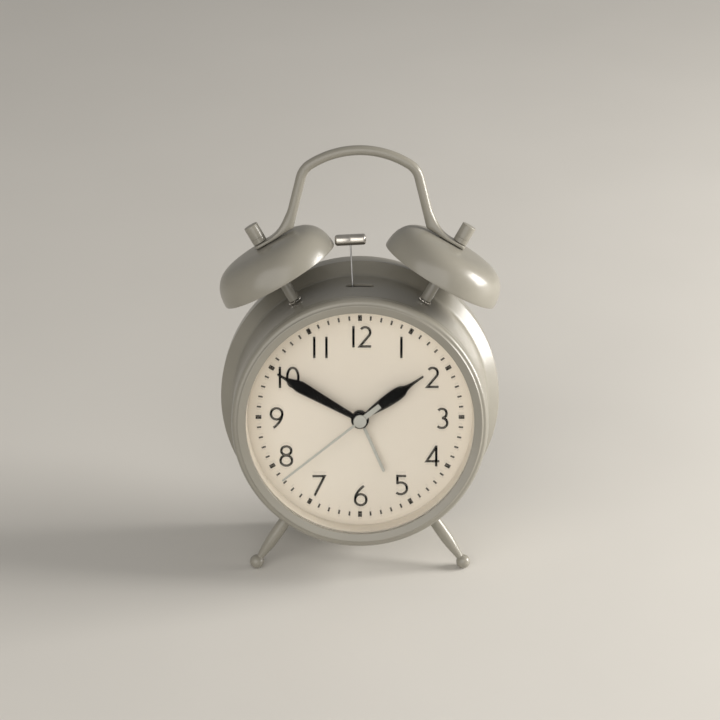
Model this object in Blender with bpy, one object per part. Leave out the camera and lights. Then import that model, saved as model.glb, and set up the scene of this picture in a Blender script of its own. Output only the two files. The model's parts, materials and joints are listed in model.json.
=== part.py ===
"""Twin-bell alarm clock with a quartz movement, as separate named pieces.

The clock leans back on two ball feet and the lower edge of its case. Every piece is placed in the
clock's own frame, held by the empty "clock": X to the right, Y from the front to the back, Z up
along the dial, with the middle of the dial's face at 0, 0, 0. Sizes are millimetres times MM.
"""

from math import asin, atan2, cos, degrees, hypot, pi, radians, sin, tau

import bmesh
import bpy
from mathutils import Matrix, Vector

MM = 0.001
GAP = 0.3 * MM  # left between pieces that touch
SMOOTH_ANGLE = radians(35)

# Case and dial
DIAL_R = 46.6 * MM
BEZEL_INNER_R, BEZEL_INNER_Y = 46.8 * MM, -12.5 * MM
BEZEL_LIP_R, BEZEL_LIP_Y = 49.8 * MM, -13.0 * MM
CASE_FRONT_R, CASE_FRONT_Y = 52.8 * MM, -7.5 * MM
CASE_WAIST_R = 53.2 * MM  # in the plane of the bells
CASE_BODY_R, CASE_BODY_Y = 53.8 * MM, 26.0 * MM
COVE_R, COVE_TURN = 4.0 * MM, radians(50)  # hollow curve where the body flares to the rear band
BAND_R, BAND_Y = 59.2 * MM, 32.7 * MM
REAR_Y, REAR_ROUND = 43.7 * MM, 1.5 * MM
WALL = 1.0 * MM
LENS_FRONT_Y, LENS_THICK, LENS_R = -10.4 * MM, 1.0 * MM, 49.4 * MM
DIAL_THICK = 0.6 * MM
CASE_STEPS = 40

# Bells, handle, hammer and legs
BELL_Y = 11.6 * MM  # depth of the plane that holds the bells, handle, hammer and legs' tops
BELL_ANGLE = radians(29.9)  # of each bell's axis from the clock's upright axis
BELL_RIM_AT = 66.1 * MM  # from the dial's middle out to the bell's rim plane
BELL_R, BELL_HEIGHT, BELL_WALL = 25.9 * MM, 14.2 * MM, 1.2 * MM
POST_R, STUD_R = 2.3 * MM, 1.2 * MM
STUD_END = 48.0 * MM  # of the studs of bell posts and legs, inside the case
WASHER_AT, WASHER_THICK = CASE_WAIST_R + GAP, 0.5 * MM
NUT_R, NUT_LENGTH, NUT_THREAD = 3.0 * MM, 7.9 * MM, 5.0 * MM
HANDLE_R, HANDLE_TOP_Z = 2.05 * MM, 109.55 * MM
TAB_WIDTH, TAB_THICK, TAB_END = 7.5 * MM, 1.5 * MM, 2.8 * MM
SLOT_WIDTH, SLOT_DEPTH = 11.8 * MM, 4.6 * MM
LEG_ANGLE = radians(33.9)
LEG_Y = 6.0 * MM
BALL_AT, BALL_R, BALL_FLAT = 78.0 * MM, 2.95 * MM, 0.25 * MM

# Movement: depths of its layers, from the dial backwards
PLATE_Y = (1.2 * MM, 2.4 * MM)
ALARM_GEAR_Y = (3.0 * MM, 4.0 * MM)
HOUR_GEAR_Y = (4.6 * MM, 5.6 * MM)
WORKS_GEAR_Y = (6.2 * MM, 7.2 * MM)
CENTRE_GEAR_Y = (8.0 * MM, 8.8 * MM)
THIRD_GEAR_Y = (9.8 * MM, 10.6 * MM)
MIDDLE_PLATE_Y = (11.2 * MM, 12.0 * MM)
SECONDS_GEAR_Y = (12.6 * MM, 13.4 * MM)
MIDDLE_GEAR_Y = (14.4 * MM, 15.2 * MM)
HOUSING_Y = (2.7 * MM, 16.2 * MM, 17.4 * MM)
HOUSING_W, HOUSING_H, HOUSING_WALL = 56 * MM, 54 * MM, 1.2 * MM
PINION_OVERHANG = 0.2 * MM
ARBOR_R, PIVOT_R = 0.45 * MM, 0.35 * MM

# Gears: module, and teeth of wheel and pinion at each step of the train
MODULE, FINE_MODULE, WORKS_MODULE = 1 / 3 * MM, 4 / 15 * MM, 0.3 * MM
PINION_TEETH, CANNON_TEETH = 6, 10
SECONDS_TEETH, THIRD_TEETH, CENTRE_TEETH, MIDDLE_TEETH = 30, 45, 48, 36
WORKS_TEETH, HOUR_TEETH, ALARM_TEETH, TIME_SET_TEETH = 30, 24, 30, 20
TIP_SHARE, ROOT_SHARE = 0.11, 0.25  # half width of a tooth, as a share of its pitch
ADDENDUM, DEDENDUM = 0.85, 1.2

# Hands, from the dial forwards; angles are clockwise from twelve
ALARM_HAND_Y, HOUR_HAND_Y, MINUTE_HAND_Y, SECONDS_HAND_Y = -2.6 * MM, -3.8 * MM, -5.5 * MM, -6.9 * MM
HAND_THICK = 0.4 * MM
HOUR_ANGLE, MINUTE_ANGLE = radians(55.0), radians(300.0)
SECONDS_ANGLE, ALARM_ANGLE = radians(231.4), radians(156.4)
CAP_R, CAP_THICK = 2.7 * MM, 0.65 * MM
COLLET = 1.1 * MM  # radius and length of the seconds hand's collet
SECONDS_R = 0.5 * MM
MINUTE_TUBE = (0.75 * MM, 1.1 * MM)
HOUR_TUBE = (1.4 * MM, 1.9 * MM)
ALARM_TUBE = (2.2 * MM, 2.7 * MM)
CENTRE_HOLE_R = 3.1 * MM

# Hammer and striker
HAMMER_PIVOT = Vector((-2.1 * MM, BELL_Y, 34.0 * MM))
HAMMER_LEAN = radians(-2.8)  # at rest it stands by the left bell
HAMMER_ARM, WIRE_R = 38.4 * MM, 0.35 * MM
HEAD_LENGTH, HEAD_R, HEAD_ROUND = 12.8 * MM, 2.3 * MM, 1.2 * MM
HUB_R, HUB_BORE = 3.2 * MM, 1.15 * MM
MAGNET_AT, MAGNET_R = Vector((13.7 * MM, 4.0 * MM)), 3.0 * MM
PIN_R, PIN_HEAD_R, PIN_Y = 0.9 * MM, 1.7 * MM, (3.9 * MM, 4.7 * MM, 18.5 * MM)
COIL_R, CORE_R = 5.0 * MM, 1.5 * MM
STRIKER_COIL_Y, STRIKER_CORE_Y = (9.9 * MM, 16.6 * MM), (9.5 * MM, 18.5 * MM)
CHEEK, CHEEK_LIP = 0.8 * MM, 0.6 * MM  # thickness and height of the coil former's end cheeks
BRACKET_Y, BRACKET_THICK, BRACKET_TOP_Z = (7.5 * MM, 17.0 * MM), 1.0 * MM, 46.0 * MM

# Back
COVER_Y = (39.2 * MM, 40.6 * MM)
COVER_R = 57.7 * MM
BATTERY_BOX_Y = (22.6 * MM, 23.8 * MM)
BATTERY_BOX = (-26.4 * MM, 26.4 * MM, -43.3 * MM, -13.0 * MM)
CELL_R, CELL_LENGTH, CELL_NUB_R, CELL_NUB = 7.15 * MM, 49.2 * MM, 2.75 * MM, 1.2 * MM
CELL_Y = 31.3 * MM
CELL_ZS = (-35.7 * MM, -20.8 * MM)
CONTACT_THICK, CONTACT_REACH = 0.35 * MM, 4.5 * MM  # thickness, and reach from a cell's middle
SWITCH_Z, SWITCH_TRAVEL = 28.0 * MM, 4.0 * MM
SCREW_SPOTS = ((-23 * MM, 22 * MM), (23 * MM, 22 * MM), (1.7 * MM, -8.2 * MM))
POST_OUTER_R, POST_INNER_R = 3.0 * MM, 1.4 * MM
SCREW_R, SCREW_HEAD_R, SCREW_LENGTH = 1.1 * MM, 2.6 * MM, 9.0 * MM
KNOB_R, KNOB_GRIP, KNOB_Y = 6.0 * MM, 0.4 * MM, (1.0 * MM, 7.3 * MM, 8.4 * MM)
LEAD_HOLE_R = 0.8 * MM
LEAD_XS, LEAD_Z, LEAD_BOX_Z = (24.2 * MM, 21.6 * MM), -22.6 * MM, -28.9 * MM
COIL_LEAD_XS, COIL_LEAD_Z = (15.0 * MM, 18.0 * MM), 18.0 * MM


# ---------------------------------------------------------------- scene, materials and objects


def clear_scene():
    for obj in list(bpy.data.objects):
        bpy.data.objects.remove(obj, do_unlink=True)


def look(name, color, roughness, metallic=0.0, transmission=0.0):
    made = bpy.data.materials.new(name)
    made.use_nodes = True
    shader = made.node_tree.nodes["Principled BSDF"]
    shader.inputs["Base Color"].default_value = (*color, 1.0)
    shader.inputs["Roughness"].default_value = roughness
    shader.inputs["Metallic"].default_value = metallic
    shader.inputs["Transmission Weight"].default_value = transmission
    made.diffuse_color = (*color, 1.0)
    return made


clear_scene()

PAINT = look("grey_paint", (0.26, 0.24, 0.2), 0.42)
CREAM = look("cream_dial", (0.76, 0.69, 0.58), 0.6)
BLACK = look("black_paint", (0.012, 0.012, 0.012), 0.45)
HAND_GREY = look("hand_grey", (0.42, 0.42, 0.38), 0.45)
CLEAR = look("clear_lens", (0.95, 0.96, 0.95), 0.04, transmission=1.0)
NICKEL = look("nickel", (0.62, 0.6, 0.56), 0.22, metallic=1.0)
STEEL = look("steel", (0.5, 0.5, 0.5), 0.35, metallic=1.0)
COPPER = look("copper_winding", (0.6, 0.24, 0.1), 0.4, metallic=1.0)
WHITE_PLASTIC = look("white_plastic", (0.8, 0.79, 0.75), 0.5)
BLACK_PLASTIC = look("black_plastic", (0.02, 0.02, 0.02), 0.5)
GREY_PLASTIC = look("grey_plastic", (0.2, 0.19, 0.17), 0.5)
BOARD = look("circuit_board", (0.03, 0.2, 0.08), 0.5)
MAGNET = look("magnet", (0.1, 0.1, 0.11), 0.4, metallic=0.6)
CELL = look("cell_sleeve", (0.05, 0.12, 0.3), 0.35)

CLOCK = bpy.data.objects.new("clock", None)
bpy.context.scene.collection.objects.link(CLOCK)


def add_piece(name, shape, material, at=(0, 0, 0), turn=None):
    """One named object in the clock's frame, from a bmesh built round its own origin."""
    bmesh.ops.remove_doubles(shape, verts=shape.verts, dist=1e-7)
    bmesh.ops.recalc_face_normals(shape, faces=shape.faces)
    mesh = bpy.data.meshes.new(name)
    shape.to_mesh(mesh)
    shape.free()
    mesh.materials.append(material)
    mesh.shade_smooth()
    mesh.set_sharp_from_angle(angle=SMOOTH_ANGLE)
    obj = bpy.data.objects.new(name, mesh)
    bpy.context.scene.collection.objects.link(obj)
    obj.parent = CLOCK
    obj.matrix_local = Matrix.Translation(at) @ (turn or Matrix.Identity(3)).to_4x4()
    return obj


def combine(obj, tool, operation):
    """Adds the tool to the object, or cuts it away, and hides the tool."""
    tool.hide_render = True
    tool.display_type = "WIRE"
    step = obj.modifiers.new(operation.lower(), "BOOLEAN")
    step.object = tool
    step.operation = operation
    step.solver = "EXACT"


# ---------------------------------------------------------------- outlines and solids


def circle(radius, steps=16, centre=(0, 0), phase=0.0):
    """Points clockwise from the top, as x to the right and z up."""
    turns = [phase + tau * k / steps for k in range(steps)]
    return [(centre[0] + radius * sin(a), centre[1] + radius * cos(a)) for a in turns]


def rectangle(left, right, bottom, top):
    return [(left, bottom), (left, top), (right, top), (right, bottom)]


def gear_outline(teeth, module, phase=0.0):
    pitch = tau / teeth
    tip, root = module * (teeth / 2 + ADDENDUM), module * (teeth / 2 - DEDENDUM)
    points = []
    for k in range(teeth):
        middle = phase + k * pitch
        for share, radius in ((-ROOT_SHARE, root), (-TIP_SHARE, tip), (TIP_SHARE, tip), (ROOT_SHARE, root)):
            angle = middle + share * pitch
            points.append((radius * sin(angle), radius * cos(angle)))
    return points


def meshing_phase(teeth, phase, other_teeth, towards):
    """Phase of a gear whose gaps take the first gear's teeth, in the direction of its centre."""
    share = (towards - phase) * teeth / tau
    return towards + pi - (0.5 - share) * tau / other_teeth


def is_inside(point, outline):
    """Whether a point lies inside an outline: counts the edges to its right."""
    x, z = point
    crossed = False
    for (x0, z0), (x1, z1) in zip(outline, outline[1:] + outline[:1]):
        if (z0 > z) != (z1 > z) and x < x0 + (z - z0) * (x1 - x0) / (z1 - z0):
            crossed = not crossed
    return crossed


def fill(shape, loops):
    """Fills the flat region between loops of vertices, each loop closed."""
    edges = []
    for verts in loops:
        for a, b in zip(verts, verts[1:] + verts[:1]):
            edges.append(shape.edges.get((a, b)) or shape.edges.new((a, b)))
    bmesh.ops.triangle_fill(shape, use_beauty=True, use_dissolve=False, edges=edges)


def stack(layers):
    """Closed solid from layers (start, end, outline, holes), one behind the other along Y.

    A layer's outline or hole that is the same list as its neighbour's runs through both.
    """
    shape = bmesh.new()
    depths = [layers[0][0]] + [layer[1] for layer in layers]
    loops = [{} for _ in depths]

    def loop_at(level, outline):
        made = loops[level].get(id(outline))
        if made is None:
            made = [shape.verts.new((x, depths[level], z)) for x, z in outline]
            loops[level][id(outline)] = made
        return made

    for i, (_, _, outline, holes) in enumerate(layers):
        for ring in (outline, *holes):
            near, far = loop_at(i, ring), loop_at(i + 1, ring)
            for k in range(len(near)):
                shape.faces.new((near[k - 1], near[k], far[k], far[k - 1]))
    first, last = layers[0], layers[-1]
    fill(shape, [loop_at(0, ring) for ring in (first[2], *first[3])])
    fill(shape, [loop_at(len(layers), ring) for ring in (last[2], *last[3])])
    for i in range(1, len(layers)):
        before, after = layers[i - 1], layers[i]
        changed = {id(h): h for h in (*before[3], *after[3])}
        for hole in (*before[3], *after[3]):
            if any(hole is h for h in before[3]) and any(hole is h for h in after[3]):
                changed.pop(id(hole), None)
        inner = list(changed.values())
        if before[2] is not after[2]:
            small = min((before[2], after[2]), key=lambda ring: max(hypot(*p) for p in ring))
            outer = [hole for hole in inner if not is_inside(hole[0], small)]
            inner = [hole for hole in inner if is_inside(hole[0], small)]
            fill(shape, [loop_at(i, ring) for ring in (before[2], after[2], *outer)])
        if inner:
            fill(shape, [loop_at(i, ring) for ring in inner])
    return shape


def turned(profile, steps=24, closed=False, along="Y"):
    """Solid of revolution round Y or Z, from points (radius, position along the axis)."""
    shape = bmesh.new()
    verts = [shape.verts.new((r, 0, h)) for r, h in profile]
    pairs = zip(verts, verts[1:] + (verts[:1] if closed else []))
    edges = [shape.edges.new(pair) for pair in pairs]
    bmesh.ops.spin(
        shape, geom=verts + edges, cent=(0, 0, 0), axis=(0, 0, 1), angle=tau, steps=steps, use_merge=True
    )
    bmesh.ops.remove_doubles(shape, verts=shape.verts, dist=1e-7)
    if along == "Y":
        shape.transform(Matrix(((0, 1, 0, 0), (0, 0, 1, 0), (1, 0, 0, 0), (0, 0, 0, 1))))
    return shape


def round_corner(centre, radius, start, end, steps):
    """Points of an arc in (radius, depth); angles in degrees from the outward direction."""
    angles = [radians(start + (end - start) * k / steps) for k in range(steps + 1)]
    return [(centre[0] + radius * cos(a), centre[1] + radius * sin(a)) for a in angles]


def swept(path, sections, sides=10):
    """Rod along a path: sections are (half width across Y, depth outside, depth inside, squareness)."""
    shape = bmesh.new()
    rings = []
    for k, point in enumerate(path):
        along = (path[min(k + 1, len(path) - 1)] - path[max(k - 1, 0)]).normalized()
        width = Vector((0, 1, 0))
        if abs(along.y) > 0.7:
            width = Vector((1, 0, 0))
        thick = along.cross(width).normalized()
        width = thick.cross(along).normalized()
        half_width, outer, inner, squareness = sections[k]
        ring = []
        for j in range(sides):
            a = tau * (j + 0.5) / sides
            u = abs(cos(a)) ** squareness * (1 if cos(a) > 0 else -1)
            v = abs(sin(a)) ** squareness * (outer if sin(a) > 0 else -inner)
            ring.append(shape.verts.new(point + width * half_width * u + thick * v))
        rings.append(ring)
    for ring, following in zip(rings, rings[1:]):
        for j in range(sides):
            shape.faces.new((ring[j - 1], ring[j], following[j], following[j - 1]))
    shape.faces.new(rings[0])
    shape.faces.new(rings[-1])
    return shape


def radial(angle):
    """Turn that takes local Z to the direction at an angle from the clock's upright axis."""
    return Matrix.Rotation(angle, 3, "Y")


def spot(angle, distance, y):
    return Vector((distance * sin(angle), y, distance * cos(angle)))


# ---------------------------------------------------------------- how the clock leans


def lean_angle():
    """The lean at which the ball feet and the case's lower rear edge stand on one plane."""
    back = (REAR_Y - REAR_ROUND) - LEG_Y
    down = BALL_AT * cos(LEG_ANGLE) - (BAND_R - REAR_ROUND)
    return asin((BALL_R - BALL_FLAT - REAR_ROUND) / hypot(back, down)) + atan2(down, back)


LEAN = lean_angle()
DOWN = Vector((0, sin(LEAN), -cos(LEAN)))  # straight down, in the clock's frame


# ---------------------------------------------------------------- case, bezel, lens and dial


def case_profile():
    """Closed section of the shell: along the outside to the rear edge, and back inside."""
    outside = [(CASE_FRONT_R, CASE_FRONT_Y), (CASE_WAIST_R, BELL_Y), (CASE_BODY_R, CASE_BODY_Y)]
    inside = [(r - WALL, y) for r, y in outside]
    cove = (CASE_BODY_R + COVE_R, CASE_BODY_Y)
    for k in range(1, 4):
        turn = COVE_TURN * k / 3
        outside.append((cove[0] - COVE_R * cos(turn), cove[1] + COVE_R * sin(turn)))
        inside.append((cove[0] - (COVE_R + WALL) * cos(turn), cove[1] + (COVE_R + WALL) * sin(turn)))
    rear = (BAND_R - REAR_ROUND, REAR_Y - REAR_ROUND)
    outside += [(BAND_R, BAND_Y), (BAND_R, rear[1])]
    outside += round_corner(rear, REAR_ROUND, degrees(LEAN), 90, 2)
    inside += [(BAND_R - WALL, BAND_Y + 0.4 * WALL), (BAND_R - WALL, rear[1])]
    inside += [(rear[0] - 0.6 * WALL, REAR_Y - 0.6 * WALL)]
    return outside + inside[::-1]


def make_case():
    shell = add_piece("case_shell", turned(case_profile(), CASE_STEPS, closed=True), PAINT)
    inner, outer = CASE_FRONT_R - 8 * MM, CASE_FRONT_R + 7 * MM
    half = SLOT_WIDTH / 2 - SLOT_DEPTH / 2
    slot = []
    for centre, start in ((half, 0), (-half, pi)):
        for k in range(7):
            angle = start + pi * k / 6
            slot.append((centre + SLOT_DEPTH / 2 * sin(angle), SLOT_DEPTH / 2 * cos(angle)))
    cutter = stack([(-outer, -inner, slot, ())])
    upright = Matrix(((1, 0, 0), (0, 0, 1), (0, -1, 0)))
    combine(shell, add_piece("hammer_slot_cutter", cutter, PAINT, (0, BELL_Y, 0), upright), "DIFFERENCE")
    bore = STUD_R + GAP
    for side, sign in (("left", -1), ("right", 1)):
        for end, angle, y in (("post", BELL_ANGLE * sign, BELL_Y), ("leg", (pi - LEG_ANGLE) * sign, LEG_Y)):
            hole = turned([(0, inner), (bore, inner), (bore, outer), (0, outer)], 16, along="Z")
            tool = add_piece(f"{side}_{end}_hole_cutter", hole, PAINT, (0, y, 0), radial(angle))
            combine(shell, tool, "DIFFERENCE")


def make_bezel():
    """Front ring: a flat face with a raised lip, a rounded shoulder, and a spigot inside the case."""
    spigot_r, spigot_y = CASE_FRONT_R - WALL - GAP, CASE_FRONT_Y + 4.0 * MM
    valley_y, back_y = BEZEL_LIP_Y + 0.7 * MM, CASE_FRONT_Y - GAP
    profile = [(BEZEL_INNER_R, BEZEL_INNER_Y)]
    profile += [(BEZEL_LIP_R - 0.6 * MM, BEZEL_LIP_Y + 0.1 * MM), (BEZEL_LIP_R, BEZEL_LIP_Y)]
    profile += [(BEZEL_LIP_R + 0.7 * MM, valley_y)]
    shoulder = (BEZEL_LIP_R + 1.1 * MM, back_y - 1.0 * MM)
    width, depth = CASE_FRONT_R - shoulder[0], shoulder[1] - valley_y
    for k in range(1, 5):
        turn = pi / 2 * k / 4
        profile.append((shoulder[0] + width * sin(turn), shoulder[1] - depth * cos(turn)))
    profile += [
        (CASE_FRONT_R - 0.1 * MM, back_y),
        (spigot_r, back_y),
        (spigot_r, spigot_y),
        (LENS_R + GAP, spigot_y),
        (LENS_R + GAP, LENS_FRONT_Y - GAP),
        (BEZEL_INNER_R, LENS_FRONT_Y - GAP),
    ]
    add_piece("bezel", turned(profile, CASE_STEPS, closed=True), PAINT)


def make_dial():
    lens = stack([(LENS_FRONT_Y, LENS_FRONT_Y + LENS_THICK, circle(LENS_R, 40), ())])
    add_piece("lens", lens, CLEAR)
    front = LENS_FRONT_Y + LENS_THICK + GAP
    wall = [(BEZEL_INNER_R, front), (LENS_R - 0.4 * MM, front), (LENS_R - 0.4 * MM, -GAP), (DIAL_R, -GAP)]
    add_piece("dial_ring", turned(wall, 40, closed=True), CREAM)
    disc = stack([(0, DIAL_THICK, circle(CASE_FRONT_R - WALL - 0.8 * MM, 40), (circle(CENTRE_HOLE_R),))])
    add_piece("dial", disc, CREAM)


# ---------------------------------------------------------------- bells, posts, handle and legs


def bell_radius(height):
    """Outer radius of the bell at a height above its rim: a steep wall that rounds to the crown."""
    return BELL_R * (1 - (height / BELL_HEIGHT) ** 2.2) ** 0.2


def bell_profile():
    """Closed section of the bell, outside from the rim to the crown, then inside back to the rim."""
    hole = STUD_R + GAP
    shares = (0, 0.35, 0.6, 0.78, 0.9, 0.96, 0.99)
    outside = [(bell_radius(BELL_HEIGHT * s), BELL_HEIGHT * s) for s in shares]
    inner_height = BELL_HEIGHT - BELL_WALL
    shrink = (BELL_R - BELL_WALL) / BELL_R
    inside = [(bell_radius(BELL_HEIGHT * s) * shrink, inner_height * s) for s in shares]
    return outside + [(hole, BELL_HEIGHT), (hole, inner_height)] + inside[::-1]


def make_bells():
    top = BELL_RIM_AT + BELL_HEIGHT
    nut_base = top + TAB_THICK + 2 * GAP
    nut_top, stud_top = nut_base + NUT_LENGTH, nut_base + NUT_THREAD
    post_foot, shoulder = WASHER_AT + WASHER_THICK + GAP, top - BELL_WALL - GAP
    bell = [(r, BELL_RIM_AT + h) for r, h in bell_profile()]
    post = [(0, STUD_END), (STUD_R, STUD_END), (STUD_R, post_foot), (POST_R, post_foot)]
    post += [(POST_R, shoulder), (STUD_R, shoulder), (STUD_R, stud_top), (0, stud_top)]
    bore = STUD_R + 0.1 * MM
    nut = [(bore, nut_base), (NUT_R, nut_base), (NUT_R, nut_top - 0.3 * MM), (NUT_R - 0.4 * MM, nut_top)]
    nut += [(0, nut_top), (0, stud_top + GAP), (bore, stud_top + GAP)]
    flat = Matrix(((1, 0, 0), (0, 0, 1), (0, 1, 0))).to_4x4()
    for side, sign in (("left", -1), ("right", 1)):
        at, turn = (0, BELL_Y, 0), radial(BELL_ANGLE * sign)
        add_piece(f"{side}_bell", turned(bell, 28, closed=True, along="Z"), PAINT, at, turn)
        add_piece(f"{side}_bell_post", turned(post, 16, along="Z"), PAINT, at, turn)
        add_piece(f"{side}_bell_nut", turned(nut, 20, closed=True, along="Z"), PAINT, at, turn)
        shape = stack([(WASHER_AT, WASHER_AT + WASHER_THICK, washer_outline(), (circle(STUD_R + GAP, 12),))])
        shape.transform(flat)
        add_piece(f"{side}_post_washer", shape, NICKEL, at, turn)


def washer_outline():
    """Washer with six small gripping teeth round its edge."""
    points = []
    for k in range(24):
        radius = 3.2 * MM if k % 4 == 0 else 2.6 * MM
        angle = tau * k / 24
        points.append((radius * sin(angle), radius * cos(angle)))
    return points


def handle_path():
    """Half of the bent rod, from its top to its tab, and the place in it where the leg starts."""
    arch_r, arch_turn = 38.0 * MM, radians(32.3)
    bend_r, leg_slope = 9.0 * MM, radians(76)
    foot_r, foot_slope = 22.0 * MM, BELL_ANGLE
    point, slope = Vector((0, BELL_Y, HANDLE_TOP_Z)), 0.0
    path = [point.copy()]

    def bend(radius, end, steps):
        nonlocal point, slope
        turn = (end - slope) / steps
        for _ in range(steps):
            middle = slope + turn / 2
            chord = 2 * radius * sin(abs(turn) / 2)
            point = point + chord * Vector((cos(middle), 0, -sin(middle)))
            slope += turn
            path.append(point.copy())

    def straight(length, steps=1):
        nonlocal point
        for _ in range(steps):
            point = point + length / steps * Vector((cos(slope), 0, -sin(slope)))
            path.append(point.copy())

    bend(arch_r, arch_turn, 5)
    bend(bend_r, leg_slope, 4)
    leg = len(path) - 1
    crown = Vector((sin(BELL_ANGLE), 0, cos(BELL_ANGLE)))
    tab_at = BELL_RIM_AT + BELL_HEIGHT + GAP + TAB_THICK / 2
    drop = foot_r * Vector((sin(leg_slope) - sin(foot_slope), 0, cos(leg_slope) - cos(foot_slope)))
    run = Vector((cos(leg_slope), 0, -sin(leg_slope)))
    length = (tab_at - (point + drop).dot(crown)) / run.dot(crown)
    straight(length, 3)
    bend(foot_r, foot_slope, 8)
    along = Vector((cos(foot_slope), 0, -sin(foot_slope)))
    nut_spot = spot(BELL_ANGLE, tab_at, BELL_Y)
    straight((nut_spot - point).dot(along) + TAB_END, 2)
    return path, leg


def handle_depths(half, leg):
    """Thickness inside the rod's centre line: its foot is pressed flat, with a corner on the bell."""
    def outward(k):
        along = half[min(k + 1, len(half) - 1)] - half[max(k - 1, 0)]
        return along.normalized().cross(Vector((0, 1, 0)))

    crown = Vector((sin(BELL_ANGLE), 0, cos(BELL_ANGLE)))
    underside = BELL_RIM_AT + BELL_HEIGHT + GAP
    leg_out = outward(leg + 1)
    depths = []
    for k, point in enumerate(half):
        out = outward(k)
        to_leg = ((point - half[leg]).dot(leg_out) + HANDLE_R) / out.dot(leg_out)
        to_crown = (point.dot(crown) - underside) / out.dot(crown)
        depths.append(min(to_leg, to_crown) if k > leg else HANDLE_R)
    return depths


def make_handle():
    half, leg = handle_path()
    path = [Vector((-p.x, p.y, p.z)) for p in reversed(half[1:])] + half
    depths = handle_depths(half, leg)
    flat, round_rod = (TAB_WIDTH / 2, TAB_THICK / 2, 0.45), (HANDLE_R, HANDLE_R, 1.0)
    rounded_from, rounded_by = 7.0 * MM, 20.0 * MM  # along the rod from its end
    sections, run = [], 0.0
    for k in range(len(half) - 1, -1, -1):
        share = min(max((run - rounded_from) / (rounded_by - rounded_from), 0), 1)
        share = share * share * (3 - 2 * share)
        half_width, outer, squareness = [a + (b - a) * share for a, b in zip(flat, round_rod)]
        sections.append((half_width, outer, depths[k], squareness))
        run += (half[k] - half[k - 1]).length
    sections += sections[-2::-1]
    handle = add_piece("handle", swept(path, sections, 8), PAINT)
    bore, crown = STUD_R + GAP, BELL_RIM_AT + BELL_HEIGHT
    near, far = crown - 2 * MM, crown + 6 * MM
    for side, sign in (("left", -1), ("right", 1)):
        hole = turned([(0, near), (bore, near), (bore, far), (0, far)], 16, along="Z")
        tool = add_piece(f"{side}_tab_hole_cutter", hole, PAINT, (0, BELL_Y, 0), radial(BELL_ANGLE * sign))
        combine(handle, tool, "DIFFERENCE")


def make_legs():
    """Turned legs: a stud through the case, a swelling shank, an ankle and a ball with a small flat."""
    shank = [(2.4, 53.4), (2.6, 60.0), (2.6, 64.0), (2.4, 68.0), (1.95, 71.5), (1.55, 74.2), (1.5, 75.4)]
    shank = [(r * MM, h * MM) for r, h in shank]
    stud = [(0, STUD_END), (STUD_R, STUD_END), (STUD_R, shank[0][1])]
    turns = [radians(35 + 145 * k / 5) for k in range(5)]
    ball = [(BALL_R * sin(a), BALL_AT - BALL_R * cos(a)) for a in turns]
    profile = stud + shank + ball + [(0, BALL_AT + BALL_R)]
    for side, sign in (("left", -1), ("right", 1)):
        angle = (pi - LEG_ANGLE) * sign
        leg = turned(profile, 16, along="Z")
        bmesh.ops.remove_doubles(leg, verts=leg.verts, dist=1e-7)
        centre = Vector((0, 0, BALL_AT))
        down = radial(angle).inverted() @ DOWN
        cut = centre + down * (BALL_R - BALL_FLAT)
        geom = leg.verts[:] + leg.edges[:] + leg.faces[:]
        bmesh.ops.bisect_plane(leg, geom=geom, plane_co=cut, plane_no=down, clear_outer=True, dist=1e-8)
        bmesh.ops.holes_fill(leg, edges=[e for e in leg.edges if e.is_boundary])
        add_piece(f"{side}_leg", leg, PAINT, (0, LEG_Y, 0), radial(angle))


# ---------------------------------------------------------------- hands


def blade(hub_r, base, half_widths):
    """Outline of a hand along +Z: round hub, then half widths at distances from the centre, in mm."""
    opening = asin(base / hub_r)
    hub = [opening + (tau - 2 * opening) * k / 14 for k in range(15)]
    points = [(hub_r * sin(a), hub_r * cos(a)) for a in hub]
    left = [(-half * MM, at * MM) for half, at in half_widths]
    return points + left + [(-x, z) for x, z in reversed(left)]


def make_hands():
    """Leaf-shaped hour and minute hands that narrow to needles, a straight alarm hand, and seconds."""
    minute_widths = ((1.6, 12), (2.5, 27.5), (2.3, 29.8), (1.5, 32.3), (0.7, 35), (0.5, 37), (0.4, 39.2))
    hour_widths = ((2.4, 12), (2.7, 17.5), (2.3, 21), (1.3, 23), (0.75, 25.5), (0.5, 28.5), (0.4, 31.8))
    minute = blade(3.65 * MM, 1.1 * MM, minute_widths)
    hour = blade(3.7 * MM, 1.25 * MM, hour_widths)
    alarm = blade(3.3 * MM, 0.63 * MM, ((0.63, 22), (0.5, 24.9)))
    rows = (
        ("minute_hand", minute, MINUTE_HAND_Y, MINUTE_TUBE[1], MINUTE_ANGLE, BLACK),
        ("hour_hand", hour, HOUR_HAND_Y, HOUR_TUBE[1], HOUR_ANGLE, BLACK),
        ("alarm_hand", alarm, ALARM_HAND_Y, ALARM_TUBE[1], ALARM_ANGLE, HAND_GREY),
    )
    for name, outline, y, tube_r, angle, material in rows:
        shape = stack([(0, HAND_THICK, outline, (circle(tube_r + 0.06 * MM, 14),))])
        add_piece(name, shape, material, (0, y, 0), radial(angle))
    bore = circle(SECONDS_R + 0.06 * MM, 12)
    layers = [(0, HAND_THICK, seconds_outline(), (bore,)), (HAND_THICK, COLLET, circle(COLLET, 12), (bore,))]
    add_piece("seconds_hand", stack(layers), HAND_GREY, (0, SECONDS_HAND_Y, 0), radial(SECONDS_ANGLE))
    cap = [(0, 0), (CAP_R - 0.3 * MM, 0), (CAP_R, 0.2 * MM), (CAP_R, CAP_THICK), (0, CAP_THICK)]
    cap_front = SECONDS_HAND_Y - 0.1 * MM - CAP_THICK
    add_piece("seconds_hand_cap", turned(cap, 24), HAND_GREY, (0, cap_front, 0), radial(SECONDS_ANGLE))


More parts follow.
